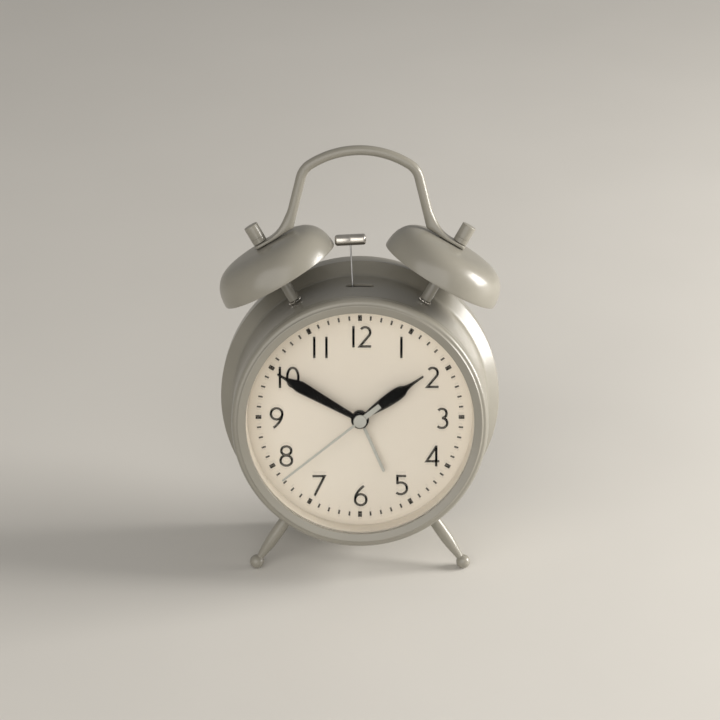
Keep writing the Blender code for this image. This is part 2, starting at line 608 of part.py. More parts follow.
def seconds_outline():
    """Thin needle with a square counterweight on its far side."""
    hub_r, half_needle, half_tip, half_tail = 2.4 * MM, 0.5 * MM, 0.42 * MM, 1.05 * MM
    length, tail_length = 41.1 * MM, 10.4 * MM
    opening, tail_opening = asin(half_needle / hub_r), asin(half_tail / hub_r)
    right = [opening + (pi - tail_opening - opening) * k / 5 for k in range(6)]
    side = [(hub_r * sin(a), hub_r * cos(a)) for a in right]
    points = [(half_tip, length)] + side + [(half_tail, -tail_length)]
    return points + [(-x, z) for x, z in reversed(points)]


# ---------------------------------------------------------------- movement


def axis_at(centre, distance, angle):
    return (centre[0] + distance * sin(angle), centre[1] + distance * cos(angle))


def centres(module, teeth, other_teeth):
    return module * (teeth + other_teeth) / 2


THIRD_TO = radians(-150)
MIDDLE_TO, ROTOR_TO = radians(110), radians(120)
WORKS_TO, TIME_TO, ALARM_TO = radians(45), radians(88.3), radians(-62)
SECONDS_CENTRES = centres(MODULE, THIRD_TEETH, PINION_TEETH)
THIRD_PINION_MODULE = 2 * SECONDS_CENTRES / (CENTRE_TEETH + PINION_TEETH)
CENTRE = (0.0, 0.0)
THIRD = axis_at(CENTRE, SECONDS_CENTRES, THIRD_TO)
MIDDLE = axis_at(CENTRE, centres(MODULE, SECONDS_TEETH, PINION_TEETH), MIDDLE_TO)
ROTOR = axis_at(MIDDLE, centres(FINE_MODULE, MIDDLE_TEETH, PINION_TEETH), ROTOR_TO)
WORKS_CENTRES = centres(WORKS_MODULE, WORKS_TEETH, CANNON_TEETH)
WORKS = axis_at(CENTRE, WORKS_CENTRES, WORKS_TO)
HOUR_MODULE = 2 * WORKS_CENTRES / (HOUR_TEETH + PINION_TEETH)
TIME_SET = axis_at(WORKS, centres(WORKS_MODULE, WORKS_TEETH, TIME_SET_TEETH), TIME_TO)
ALARM_SET = axis_at(CENTRE, centres(MODULE, ALARM_TEETH, ALARM_TEETH), ALARM_TO)


def pinion_span(gear_y):
    return gear_y[0] - PINION_OVERHANG, gear_y[1] + PINION_OVERHANG


def add_wheel(name, axis, layers, material):
    add_piece(name, stack(layers), material, (axis[0], 0, axis[1]))


def make_going_train():
    """Rotor, middle wheel, seconds wheel, third wheel and centre wheel, which turns the minute hand."""
    arbor, pivot = circle(ARBOR_R, 10), circle(PIVOT_R, 8)
    rear_end, middle_front = HOUSING_Y[1] + 0.6 * MM, MIDDLE_PLATE_Y[0] + 0.1 * MM
    wheel_mid, pinion_mid = MIDDLE_GEAR_Y, pinion_span(SECONDS_GEAR_Y)
    phase = meshing_phase(SECONDS_TEETH, 0, PINION_TEETH, MIDDLE_TO)
    pinion = gear_outline(PINION_TEETH, MODULE, phase)
    pinion_front = MIDDLE_PLATE_Y[1] + 0.2 * MM
    layers = [(middle_front, pinion_front, pivot, ()), (pinion_front, pinion_mid[1], pinion, ())]
    layers += [(pinion_mid[1], wheel_mid[0], arbor, ())]
    layers += [(*wheel_mid, gear_outline(MIDDLE_TEETH, FINE_MODULE), ()), (wheel_mid[1], rear_end, pivot, ())]
    add_wheel("middle_wheel", MIDDLE, layers, WHITE_PLASTIC)

    phase = meshing_phase(MIDDLE_TEETH, 0, PINION_TEETH, ROTOR_TO)
    magnet, pinion_end = (12.35 * MM, 13.6 * MM), MIDDLE_GEAR_Y[1] + PINION_OVERHANG
    pinion = gear_outline(PINION_TEETH, FINE_MODULE, phase)
    layers = [(middle_front, magnet[0], pivot, ()), (*magnet, circle(2.7 * MM, 20), ())]
    layers += [(magnet[1], pinion_end, pinion, ()), (pinion_end, rear_end, pivot, ())]
    add_wheel("rotor", ROTOR, layers, MAGNET)

    shaft = circle(SECONDS_R, 12)
    span = pinion_span(THIRD_GEAR_Y)
    phase = meshing_phase(THIRD_TEETH, 0, PINION_TEETH, THIRD_TO + pi)
    pinion, wheel = gear_outline(PINION_TEETH, MODULE, phase), gear_outline(SECONDS_TEETH, MODULE)
    layers = [(SECONDS_HAND_Y + 0.1 * MM, span[0], shaft, ()), (*span, pinion, ())]
    layers += [(span[1], SECONDS_GEAR_Y[0], shaft, ()), (*SECONDS_GEAR_Y, wheel, ())]
    layers += [(SECONDS_GEAR_Y[1], rear_end, pivot, ())]
    add_wheel("seconds_wheel", CENTRE, layers, WHITE_PLASTIC)

    phase = meshing_phase(CENTRE_TEETH, 0, PINION_TEETH, THIRD_TO)
    span = pinion_span(CENTRE_GEAR_Y)
    pinion = gear_outline(PINION_TEETH, THIRD_PINION_MODULE, phase)
    layers = [(PLATE_Y[1] - 0.5 * MM, span[0], pivot, ()), (*span, pinion, ())]
    layers += [(span[1], THIRD_GEAR_Y[0], arbor, ()), (*THIRD_GEAR_Y, gear_outline(THIRD_TEETH, MODULE), ())]
    layers += [(THIRD_GEAR_Y[1], MIDDLE_PLATE_Y[1] - 0.1 * MM, pivot, ())]
    add_wheel("third_wheel", THIRD, layers, WHITE_PLASTIC)

    bore, tube = circle(MINUTE_TUBE[0], 12), circle(MINUTE_TUBE[1], 12)
    span = pinion_span(WORKS_GEAR_Y)
    cannon = gear_outline(CANNON_TEETH, WORKS_MODULE)
    layers = [(MINUTE_HAND_Y - 0.1 * MM, span[0], tube, (bore,)), (*span, cannon, (bore,))]
    layers += [(span[1], CENTRE_GEAR_Y[0], tube, (bore,))]
    layers += [(*CENTRE_GEAR_Y, gear_outline(CENTRE_TEETH, THIRD_PINION_MODULE), (bore,))]
    add_wheel("centre_wheel", CENTRE, layers, WHITE_PLASTIC)


def make_motion_works():
    """Works wheel and hour wheel, which divide the minute wheel's turns by twelve."""
    phase = meshing_phase(CANNON_TEETH, 0, WORKS_TEETH, WORKS_TO)
    layers = [(PLATE_Y[1] - 0.8 * MM, HOUR_GEAR_Y[0] - PINION_OVERHANG, circle(ARBOR_R, 10), ())]
    pinion = gear_outline(PINION_TEETH, HOUR_MODULE)
    layers += [(HOUR_GEAR_Y[0] - PINION_OVERHANG, WORKS_GEAR_Y[0], pinion, ())]
    layers += [(*WORKS_GEAR_Y, gear_outline(WORKS_TEETH, WORKS_MODULE, phase), ())]
    add_wheel("works_wheel", WORKS, layers, WHITE_PLASTIC)

    set_phase = meshing_phase(WORKS_TEETH, phase, TIME_SET_TEETH, TIME_TO)
    set_gear = gear_outline(TIME_SET_TEETH, WORKS_MODULE, set_phase)
    add_set_shaft("time_set_shaft", TIME_SET, WORKS_GEAR_Y, set_gear)

    phase = meshing_phase(PINION_TEETH, 0, HOUR_TEETH, WORKS_TO + pi)
    bore, tube = circle(HOUR_TUBE[0], 14), circle(HOUR_TUBE[1], 14)
    layers = [(HOUR_HAND_Y - 0.1 * MM, HOUR_GEAR_Y[0], tube, (bore,))]
    layers += [(*HOUR_GEAR_Y, gear_outline(HOUR_TEETH, HOUR_MODULE, phase), (bore,))]
    add_wheel("hour_wheel", CENTRE, layers, WHITE_PLASTIC)

    bore, tube = circle(ALARM_TUBE[0], 14), circle(ALARM_TUBE[1], 14)
    layers = [(ALARM_HAND_Y - 0.1 * MM, ALARM_GEAR_Y[0], tube, (bore,))]
    layers += [(*ALARM_GEAR_Y, gear_outline(ALARM_TEETH, MODULE), (bore,))]
    add_wheel("alarm_wheel", CENTRE, layers, WHITE_PLASTIC)
    phase = meshing_phase(ALARM_TEETH, 0, ALARM_TEETH, ALARM_TO)
    add_set_shaft("alarm_set_shaft", ALARM_SET, ALARM_GEAR_Y, gear_outline(ALARM_TEETH, MODULE, phase))


def add_set_shaft(name, axis, gear_y, outline):
    """Gear on a long shaft that reaches the knob at the back."""
    pivot, shaft = circle(0.6 * MM, 10), circle(1.0 * MM, 12)
    knob_end = COVER_Y[1] + 7.0 * MM
    layers = [(PLATE_Y[1] - 0.8 * MM, gear_y[0], pivot, ()), (*gear_y, outline, ())]
    layers += [(gear_y[1], knob_end, shaft, ())]
    add_wheel(name, axis, layers, WHITE_PLASTIC)


def make_plates():
    half_w, half_h = HOUSING_W / 2, HOUSING_H / 2
    box = rectangle(-half_w, half_w, -half_h, half_h)
    inner_w, inner_h = half_w - HOUSING_WALL, half_h - HOUSING_WALL
    inner = rectangle(-inner_w, inner_w, -inner_h, inner_h)
    pivots = [circle(ARBOR_R + 0.2 * MM, 10, WORKS), circle(PIVOT_R + 0.2 * MM, 8, THIRD)]
    shafts = [circle(0.8 * MM, 10, TIME_SET), circle(0.8 * MM, 10, ALARM_SET)]
    front = stack([(*PLATE_Y, box, (circle(CENTRE_HOLE_R, 16), *pivots, *shafts))])
    add_piece("movement_front_plate", front, BLACK_PLASTIC)

    small = [circle(PIVOT_R + 0.2 * MM, 8, spot_) for spot_ in (THIRD, MIDDLE, ROTOR)]
    wide = [circle(1.3 * MM, 12, TIME_SET), circle(1.3 * MM, 12, ALARM_SET), circle(0.8 * MM, 10)]
    side, top = inner_w - GAP, inner_h - GAP
    plate = stack([(*MIDDLE_PLATE_Y, rectangle(-side, side, -15 * MM, top), (*small, *wide))])
    add_piece("movement_middle_plate", plate, WHITE_PLASTIC)

    through = [circle(PIVOT_R + 0.2 * MM, 8, axis) for axis in (CENTRE, MIDDLE, ROTOR)]
    through += [circle(1.3 * MM, 12, axis) for axis in (TIME_SET, ALARM_SET)]
    through += [circle(LEAD_HOLE_R, 8, (x, LEAD_Z)) for x in LEAD_XS]
    through += [circle(LEAD_HOLE_R, 8, (x, COIL_LEAD_Z)) for x in COIL_LEAD_XS]
    layers = [(HOUSING_Y[0], HOUSING_Y[1], box, (inner,)), (HOUSING_Y[1], HOUSING_Y[2], box, tuple(through))]
    housing = add_piece("movement_housing", stack(layers), BLACK_PLASTIC)
    low, high, floor = HOUSING_Y[2] - 0.5 * MM, COVER_Y[0] - GAP, HOUSING_Y[2] + 6 * MM
    profile = [(0, low), (POST_OUTER_R, low), (POST_OUTER_R, high)]
    profile += [(POST_INNER_R, high), (POST_INNER_R, floor), (0, floor)]
    for k, (x, z) in enumerate(SCREW_SPOTS, 1):
        post = add_piece(f"cover_post_{k}_tool", turned(profile, 16), BLACK_PLASTIC, (x, 0, z))
        combine(housing, post, "UNION")


def winding_profile(coil_r, bore, start, end, lip):
    """Closed section of a coil on its former, with a cheek at each end."""
    near = [(bore, start), (coil_r, start), (coil_r, start + CHEEK), (coil_r - lip, start + CHEEK)]
    far = [(coil_r - lip, end - CHEEK), (coil_r, end - CHEEK), (coil_r, end), (bore, end)]
    return near + far


def make_motor():
    """Step motor: a stator plate round the rotor, and a coil whose core bridges the stator's arms."""
    x, z = ROTOR
    coil_z = -20.0 * MM
    left, right = -8.0 * MM, 18.6 * MM
    stator_y = (12.7 * MM, 13.5 * MM)
    pole_r, arm = 4.15 * MM, 1.6 * MM
    arcs = [radians(-110 + 220 * k / 12) for k in range(13)]
    outline = [(x + pole_r * sin(a), z + pole_r * cos(a)) for a in arcs]
    outline += [(right + arm, z - 8.0 * MM), (right + arm, coil_z - 1.5 * MM), (right - arm, coil_z - 1.5 * MM)]
    outline += [(right - arm, z - 8.2 * MM), (x, z - 4.6 * MM), (left + arm + 0.6 * MM, z - 8.6 * MM)]
    outline += [(left + arm, coil_z - 1.5 * MM), (left - arm, coil_z - 1.5 * MM), (left - arm, z - 6.6 * MM)]
    outline += [(x - 5.0 * MM, z - 4.0 * MM)]
    stator = stack([(*stator_y, outline, (circle(3.1 * MM, 20, ROTOR),))])
    add_piece("motor_stator", stator, STEEL)
    core_y = (11.55 * MM, 12.4 * MM)
    bar = rectangle(left - arm, right + arm, coil_z - 1.0 * MM, coil_z + 1.0 * MM)
    core = stack([(*core_y, bar, ())])
    add_piece("motor_coil_core", core, STEEL)
    coil_r, bore = 3.1 * MM, 1.45 * MM
    winding = winding_profile(coil_r, bore, left + 2.4 * MM, right - 2.4 * MM, 0.5 * MM)
    middle = sum(core_y) / 2
    turn = Matrix.Rotation(pi / 2, 3, "Y")
    add_piece("motor_coil", turned(winding, 16, closed=True, along="Z"), COPPER, (0, middle, coil_z), turn)


def make_electronics():
    board_y = (4.4 * MM, 5.4 * MM)
    board = stack([(*board_y, rectangle(-25 * MM, 26 * MM, -25 * MM, -12 * MM), ())])
    add_piece("circuit_board", board, BOARD)
    can = [(0, 0), (0.95 * MM, 0), (1.0 * MM, 0.1 * MM), (1.0 * MM, 6.0 * MM), (0, 6.0 * MM)]
    at = (-21 * MM, board_y[1] + GAP + 1.0 * MM, -21.5 * MM)
    add_piece("quartz_crystal", turned(can, 12, along="Z"), NICKEL, at, Matrix.Rotation(pi / 2, 3, "Y"))


# ---------------------------------------------------------------- hammer and striker


def make_hammer():
    """Hub on the pivot pin, with the striker's magnet on its arm, and the wire that holds the head."""
    lean = radial(HAMMER_LEAN)
    wire_from, wire_to = 2.0 * MM, HAMMER_ARM - 1.2 * MM
    wire = turned([(0, wire_from), (WIRE_R, wire_from), (WIRE_R, wire_to), (0, wire_to)], 8, along="Z")
    add_piece("hammer_wire", wire, STEEL, HAMMER_PIVOT, lean)
    half = HEAD_LENGTH / 2
    end = round_corner((HEAD_R - HEAD_ROUND, half - HEAD_ROUND), HEAD_ROUND, 90, 0, 3)
    barrel = [(0, half)] + end + [(r, -h) for r, h in reversed(end)] + [(0, -half)]
    shape = turned(barrel, 20, along="Z")
    shape.transform(Matrix.Rotation(pi / 2, 4, "Y"))
    shape.transform(Matrix.Translation((0, 0, HAMMER_ARM)))
    head = add_piece("hammer_head", shape, NICKEL, HAMMER_PIVOT, lean)
    bottom, top, bore = HAMMER_ARM - HEAD_R - 1.0 * MM, HAMMER_ARM - 0.8 * MM, WIRE_R + 0.15 * MM
    hole = turned([(0, bottom), (bore, bottom), (bore, top), (0, top)], 12, along="Z")
    combine(head, add_piece("head_hole_cutter", hole, NICKEL, HAMMER_PIVOT, lean), "DIFFERENCE")

    x, z = MAGNET_AT
    arm, rim_r = atan2(x, z), MAGNET_R + 0.4 * MM
    plate = []
    for centre, radius, start in (((0, 0), HUB_R, arm + pi / 2), ((x, z), rim_r, arm - pi / 2)):
        for k in range(9):
            angle = start + pi * k / 8
            plate.append((centre[0] + radius * sin(angle), centre[1] + radius * cos(angle)))
    bore = circle(HUB_BORE, 12)
    boss = circle(HUB_R - 0.3 * MM, 20)
    layers = [(-6.4 * MM, -4.9 * MM, plate, (bore,)), (-4.9 * MM, 2.2 * MM, boss, (bore,))]
    hub = add_piece("hammer_hub", stack(layers), BLACK_PLASTIC, HAMMER_PIVOT, lean)
    low, high, socket_r = wire_from - 0.2 * MM, HUB_R + 1.8 * MM, WIRE_R + 0.2 * MM
    socket = turned([(0, low), (socket_r, low), (socket_r, high), (0, high)], 12, along="Z")
    combine(hub, add_piece("hub_socket_cutter", socket, BLACK_PLASTIC, HAMMER_PIVOT, lean), "DIFFERENCE")
    disc = stack([(-4.6 * MM, -2.6 * MM, circle(MAGNET_R, 20, (x, z)), ())])
    add_piece("striker_magnet", disc, MAGNET, HAMMER_PIVOT, lean)


def make_striker():
    """Electromagnet on a steel bracket over the movement; it swings the magnet on the hammer's hub."""
    magnet = radial(HAMMER_LEAN) @ Vector((MAGNET_AT[0], 0, MAGNET_AT[1]))
    coil_x, coil_z = HAMMER_PIVOT.x + magnet.x, HAMMER_PIVOT.z + magnet.z
    (front, back), foot = BRACKET_Y, HOUSING_H / 2 + GAP
    section = [(front, foot), (front, foot + BRACKET_THICK), (back, foot + BRACKET_THICK)]
    section += [(back, BRACKET_TOP_Z), (back + BRACKET_THICK, BRACKET_TOP_Z), (back + BRACKET_THICK, foot)]
    plate = stack([(-8.0 * MM, 20.0 * MM, section, ())])
    plate.transform(Matrix(((0, 1, 0, 0), (1, 0, 0, 0), (0, 0, 1, 0), (0, 0, 0, 1))))
    bracket = add_piece("striker_bracket", plate, STEEL)
    near, far = back - 2.0 * MM, back + 3.0 * MM
    pin_hole = ("pin", HAMMER_PIVOT.x, HAMMER_PIVOT.z, PIN_R + 0.2 * MM)
    core_hole = ("core", coil_x, coil_z, CORE_R + 0.2 * MM)
    for name, x, z, radius in (pin_hole, core_hole):
        hole = turned([(0, near), (radius, near), (radius, far), (0, far)], 16)
        combine(bracket, add_piece(f"{name}_hole_cutter", hole, STEEL, (x, 0, z)), "DIFFERENCE")
    head_y, shank_y, end_y = PIN_Y
    pin = [(0, head_y), (PIN_HEAD_R, head_y), (PIN_HEAD_R, shank_y)]
    pin += [(PIN_R, shank_y), (PIN_R, end_y), (0, end_y)]
    add_piece("hammer_pivot_pin", turned(pin, 16), STEEL, (HAMMER_PIVOT.x, 0, HAMMER_PIVOT.z))
    near, far = STRIKER_CORE_Y
    core = turned([(0, near), (CORE_R, near), (CORE_R, far), (0, far)], 16)
    add_piece("striker_core", core, STEEL, (coil_x, 0, coil_z))
    winding = winding_profile(COIL_R, CORE_R + 0.2 * MM, *STRIKER_COIL_Y, CHEEK_LIP)
    add_piece("striker_coil", turned(winding, 20, closed=True), COPPER, (coil_x, 0, coil_z))


# ---------------------------------------------------------------- back cover, batteries and controls


def make_back_cover():
    left, right, bottom, top = BATTERY_BOX
    inner = rectangle(*BATTERY_BOX)
    outer = rectangle(left - HOUSING_WALL, right + HOUSING_WALL, bottom - HOUSING_WALL, top + HOUSING_WALL)
    disc = circle(COVER_R, 40)
    leads = tuple(circle(LEAD_HOLE_R, 8, (x, LEAD_BOX_Z)) for x in LEAD_XS)
    holes = [circle(3.4 * MM, 16, TIME_SET), circle(3.4 * MM, 16, ALARM_SET)]
    holes += [circle(1.5 * MM, 12, at) for at in SCREW_SPOTS]
    slot_half = SWITCH_TRAVEL / 2 + 2.5 * MM + GAP
    holes += [rectangle(-slot_half, slot_half, SWITCH_Z - 1.9 * MM, SWITCH_Z + 1.9 * MM)]
    layers = [
        (*BATTERY_BOX_Y, outer, leads),
        (BATTERY_BOX_Y[1], COVER_Y[0], outer, (inner,)),
        (*COVER_Y, disc, (inner, *holes)),
    ]
    add_piece("back_cover", stack(layers), GREY_PLASTIC)


def make_battery_door():
    """Door that swings on its outer lower edge, with a latch tongue at its upper edge."""
    left, right, bottom, top = BATTERY_BOX
    hinge = (0, COVER_Y[1], bottom + GAP)
    height, thick = top - bottom - 2 * GAP, COVER_Y[1] - COVER_Y[0]
    panel = stack([(-thick, 0, rectangle(left + GAP, right - GAP, 0, height), ())])
    door = add_piece("battery_door", panel, GREY_PLASTIC, hinge)
    latch = rectangle(-5 * MM, 5 * MM, height - 2.7 * MM, height - 0.7 * MM)
    tongue = stack([(-3.6 * MM, -1.0 * MM, latch, ())])
    combine(door, add_piece("door_latch_tool", tongue, GREY_PLASTIC, hinge), "UNION")


def make_cells():
    """Two AA cells side by side, head to tail, with a linking plate at one end and a contact pair."""
    half = CELL_LENGTH / 2
    body = [(0, -half), (CELL_R - 0.3 * MM, -half), (CELL_R, 0.3 * MM - half), (CELL_R, half - 0.3 * MM)]
    body += [(CELL_R - 0.3 * MM, half), (CELL_NUB_R, half), (CELL_NUB_R, half + CELL_NUB), (0, half + CELL_NUB)]
    for k, (z, sign) in enumerate(zip(CELL_ZS, (1, -1)), 1):
        turn = Matrix.Rotation(pi / 2 * sign, 3, "Y")
        at = (-sign * CELL_NUB / 2, CELL_Y, z)
        add_piece(f"battery_cell_{k}", turned(body, 24, along="Z"), CELL, at, turn)
    y0, y1 = CELL_Y - CONTACT_REACH, CELL_Y + CONTACT_REACH

    def contact(name, x0, low, high):
        z0, z1 = low - CONTACT_REACH, high + CONTACT_REACH
        plate = stack([(x0, x0 + CONTACT_THICK, [(y0, z0), (y0, z1), (y1, z1), (y1, z0)], ())])
        plate.transform(Matrix(((0, 1, 0, 0), (1, 0, 0, 0), (0, 0, 1, 0), (0, 0, 0, 1))))
        add_piece(name, plate, NICKEL)

    left, right = BATTERY_BOX[0] + GAP, BATTERY_BOX[1] - GAP - CONTACT_THICK
    low, high = CELL_ZS
    contact("battery_link_contact", left, low, high)
    contact("battery_positive_contact", right, low, low)
    contact("battery_negative_contact", right, high, high)


def make_knobs():
    """Two setting knobs with ribbed grips, each pushed onto its set shaft."""
    ribs = 18
    edge = []
    for k in range(ribs * 2):
        radius = KNOB_R - KNOB_GRIP * (k % 2)
        angle = pi * k / ribs
        edge.append((radius * sin(angle), radius * cos(angle)))
    bore, stem = circle(1.1 * MM, 12), circle(2.9 * MM, 16)
    start = COVER_Y[0] + 0.2 * MM
    skirt, top, end = [COVER_Y[1] + y for y in KNOB_Y]
    for name, axis in (("time_set_knob", TIME_SET), ("alarm_set_knob", ALARM_SET)):
        layers = [(start, skirt, stem, (bore,)), (skirt, top, edge, (bore,)), (top, end, edge, ())]
        add_piece(name, stack(layers), BLACK_PLASTIC, (axis[0], 0, axis[1]))


def make_switch():
    x = -SWITCH_TRAVEL / 2
    flange = rectangle(-4.2 * MM, 4.2 * MM, -3.2 * MM, 3.2 * MM)
    button = rectangle(-2.5 * MM, 2.5 * MM, -1.6 * MM, 1.6 * MM)
    under = COVER_Y[0] - GAP
    layers = [(under - 1.5 * MM, under, flange, ()), (under, COVER_Y[1] + 2.0 * MM, button, ())]
    add_piece("alarm_switch", stack(layers), BLACK_PLASTIC, (x, 0, SWITCH_Z))


def make_screws():
    head = COVER_Y[1] + GAP
    tip = head - SCREW_LENGTH
    profile = [(0, tip), (SCREW_R, tip), (SCREW_R, head), (SCREW_HEAD_R, head)]
    profile += [(SCREW_HEAD_R, head + 0.6 * MM), (SCREW_HEAD_R - 1.0 * MM, head + 1.5 * MM)]
    profile += [(0, head + 1.5 * MM)]
    for k, (x, z) in enumerate(SCREW_SPOTS, 1):
        add_piece(f"back_screw_{k}", turned(profile, 14), NICKEL, (x, 0, z))


# ---------------------------------------------------------------- the whole clock


def stand_on_origin():
    """Leans the clock back and puts the middle of its underside at the world's origin."""
    CLOCK.rotation_euler = (-LEAN, 0, 0)
    bpy.context.view_layer.update()
    depsgraph = bpy.context.evaluated_depsgraph_get()
    corners = []
    for obj in bpy.context.scene.objects:
        if obj.type == "MESH" and not obj.hide_render:
            mesh = obj.evaluated_get(depsgraph).to_mesh()
            corners += [obj.matrix_world @ v.co for v in mesh.vertices]
    low = [min(c[k] for c in corners) for k in range(3)]
    high = [max(c[k] for c in corners) for k in range(3)]
    CLOCK.location = (-(low[0] + high[0]) / 2, -(low[1] + high[1]) / 2, -low[2])


make_case()
make_bezel()
make_dial()
make_bells()
make_handle()
make_legs()
make_hands()
make_going_train()
make_motion_works()
make_plates()
make_motor()
make_electronics()
make_hammer()
make_striker()
make_back_cover()
make_battery_door()
make_cells()
make_knobs()
make_switch()
make_screws()
stand_on_origin()
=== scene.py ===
"""Twin-bell alarm clock: finished surfaces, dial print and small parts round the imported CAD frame.

Every piece is built in the clock's own frame (X to the right, Y from the front to the back, Z up
along the dial, the middle of the dial's face at 0, 0, 0) and then placed with the matrix CLOCK.
Sizes are millimetres times MM.
"""

import json
from math import asin, atan2, cos, hypot, pi, radians, sin, tau

import bmesh
import bpy
from mathutils import Matrix, Vector


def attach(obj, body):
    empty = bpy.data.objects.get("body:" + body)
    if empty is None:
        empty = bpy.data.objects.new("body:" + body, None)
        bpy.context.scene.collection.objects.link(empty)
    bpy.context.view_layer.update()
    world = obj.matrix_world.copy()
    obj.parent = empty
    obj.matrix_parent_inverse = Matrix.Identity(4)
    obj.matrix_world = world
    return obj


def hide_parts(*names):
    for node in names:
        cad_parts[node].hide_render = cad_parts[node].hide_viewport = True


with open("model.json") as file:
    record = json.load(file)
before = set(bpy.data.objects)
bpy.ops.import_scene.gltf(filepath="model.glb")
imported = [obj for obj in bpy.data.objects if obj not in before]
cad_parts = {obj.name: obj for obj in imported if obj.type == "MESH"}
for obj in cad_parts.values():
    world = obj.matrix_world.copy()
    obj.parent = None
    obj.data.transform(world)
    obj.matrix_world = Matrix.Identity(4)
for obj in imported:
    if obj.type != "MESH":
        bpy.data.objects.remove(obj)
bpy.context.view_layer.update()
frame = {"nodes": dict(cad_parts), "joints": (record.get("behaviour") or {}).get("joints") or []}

MM = 0.001
GAP = 0.3 * MM
SMOOTH_ANGLE = radians(32)
TURNS = 144  # steps round the case and dial

# Case and dial
DIAL_R = 46.6 * MM
BEZEL_INNER_R, BEZEL_INNER_Y = 46.8 * MM, -12.5 * MM
BEZEL_LIP_R, BEZEL_LIP_Y = 49.8 * MM, -13.0 * MM
CASE_FRONT_R, CASE_FRONT_Y = 52.8 * MM, -7.5 * MM
CASE_WAIST_R = 53.2 * MM
CASE_BODY_R, CASE_BODY_Y = 53.8 * MM, 26.0 * MM
COVE_R, COVE_TURN = 4.0 * MM, 50
BAND_R, BAND_Y = 59.2 * MM, 32.7 * MM
REAR_Y, REAR_ROUND = 43.7 * MM, 1.5 * MM
WALL = 1.0 * MM
LENS_FRONT_Y, LENS_THICK, LENS_R = -10.4 * MM, 1.0 * MM, 49.4 * MM
DIAL_THICK, CENTRE_HOLE_R = 0.6 * MM, 3.1 * MM

# Bells, handle, hammer and legs
BELL_Y = 11.6 * MM
BELL_ANGLE = radians(29.9)
BELL_RIM_AT = 66.1 * MM
BELL_R, BELL_HEIGHT, BELL_WALL = 25.9 * MM, 14.2 * MM, 1.2 * MM
POST_R, STUD_R = 2.3 * MM, 1.2 * MM
STUD_END = 48.0 * MM
WASHER_AT, WASHER_THICK = CASE_WAIST_R + GAP, 0.5 * MM
NUT_R, NUT_LENGTH, NUT_THREAD = 3.0 * MM, 7.9 * MM, 5.0 * MM
HANDLE_R, HANDLE_TOP_Z = 2.05 * MM, 109.55 * MM
TAB_WIDTH, TAB_THICK, TAB_END = 7.5 * MM, 1.5 * MM, 2.8 * MM
SLOT_WIDTH, SLOT_DEPTH = 11.8 * MM, 4.6 * MM
LEG_ANGLE = radians(33.9)
LEG_Y = 6.0 * MM
BALL_AT, BALL_R, BALL_FLAT = 78.0 * MM, 2.95 * MM, 0.25 * MM
HAMMER_PIVOT = Vector((-2.1 * MM, BELL_Y, 34.0 * MM))
HAMMER_LEAN = radians(-2.8)
HAMMER_ARM, WIRE_R = 38.4 * MM, 0.35 * MM
HEAD_LENGTH, HEAD_R, HEAD_ROUND = 12.8 * MM, 2.3 * MM, 1.2 * MM

# Hands: depths of their front faces, and angles clockwise from twelve
ALARM_HAND_Y, HOUR_HAND_Y, MINUTE_HAND_Y, SECONDS_HAND_Y = -2.6 * MM, -3.8 * MM, -5.5 * MM, -6.9 * MM
HAND_THICK = 0.4 * MM
HOUR_ANGLE, MINUTE_ANGLE = radians(55.0), radians(300.0)
SECONDS_ANGLE, ALARM_ANGLE = radians(231.4), radians(156.4)
CAP_R, CAP_THICK = 2.7 * MM, 0.65 * MM
COLLET = 1.1 * MM
TUBES = {"minute": 1.1 * MM, "hour": 1.9 * MM, "alarm": 2.7 * MM, "seconds": 0.5 * MM}

# Back
COVER_Y = (39.2 * MM, 40.6 * MM)
COVER_R = 57.7 * MM
BATTERY_BOX_Y = (22.6 * MM, 23.8 * MM)
BATTERY_BOX = (-26.4 * MM, 26.4 * MM, -43.3 * MM, -13.0 * MM)
HOUSING_WALL = 1.2 * MM
TIME_SET, ALARM_SET = (11.739 * MM, 4.468 * MM), (-8.829 * MM, 4.695 * MM)
SWITCH_Z, SWITCH_TRAVEL = 28.0 * MM, 4.0 * MM
SCREW_SPOTS = ((-23 * MM, 22 * MM), (23 * MM, 22 * MM), (1.7 * MM, -8.2 * MM))
LEAD_R, LEAD_XS, LEAD_Z = 0.55 * MM, (24.2 * MM, 21.6 * MM), -28.9 * MM
KNOB_HOLE_R, RING_R = 3.4 * MM, 7.2 * MM

# Dial print
STROKE, PRINT_THICK = 1.02 * MM, 0.04 * MM
TRACK_R = 42.0 * MM
HOUR_MARK, MINUTE_MARK = (1.6 * MM, 2.4 * MM), (0.74 * MM, 1.8 * MM)  # width and length


def lean_angle():
    """The lean at which the ball feet and the case's lower rear edge stand on one plane."""
    back = (REAR_Y - REAR_ROUND) - LEG_Y
    down = BALL_AT * cos(LEG_ANGLE) - (BAND_R - REAR_ROUND)
    return asin((BALL_R - BALL_FLAT - REAR_ROUND) / hypot(back, down)) + atan2(down, back)


LEAN = lean_angle()
DOWN = Vector((0, sin(LEAN), -cos(LEAN)))
CENTRE_JOINT = next(j for j in frame["joints"] if j["name"] == "seconds_spin")
TILT = Matrix.Rotation(-LEAN, 4, "X")
ORIGIN = Vector(CENTRE_JOINT["pos_m"]) - TILT @ Vector((0, 10 * MM, 0))
CLOCK = Matrix.Translation(ORIGIN) @ TILT


# ---------------- camera


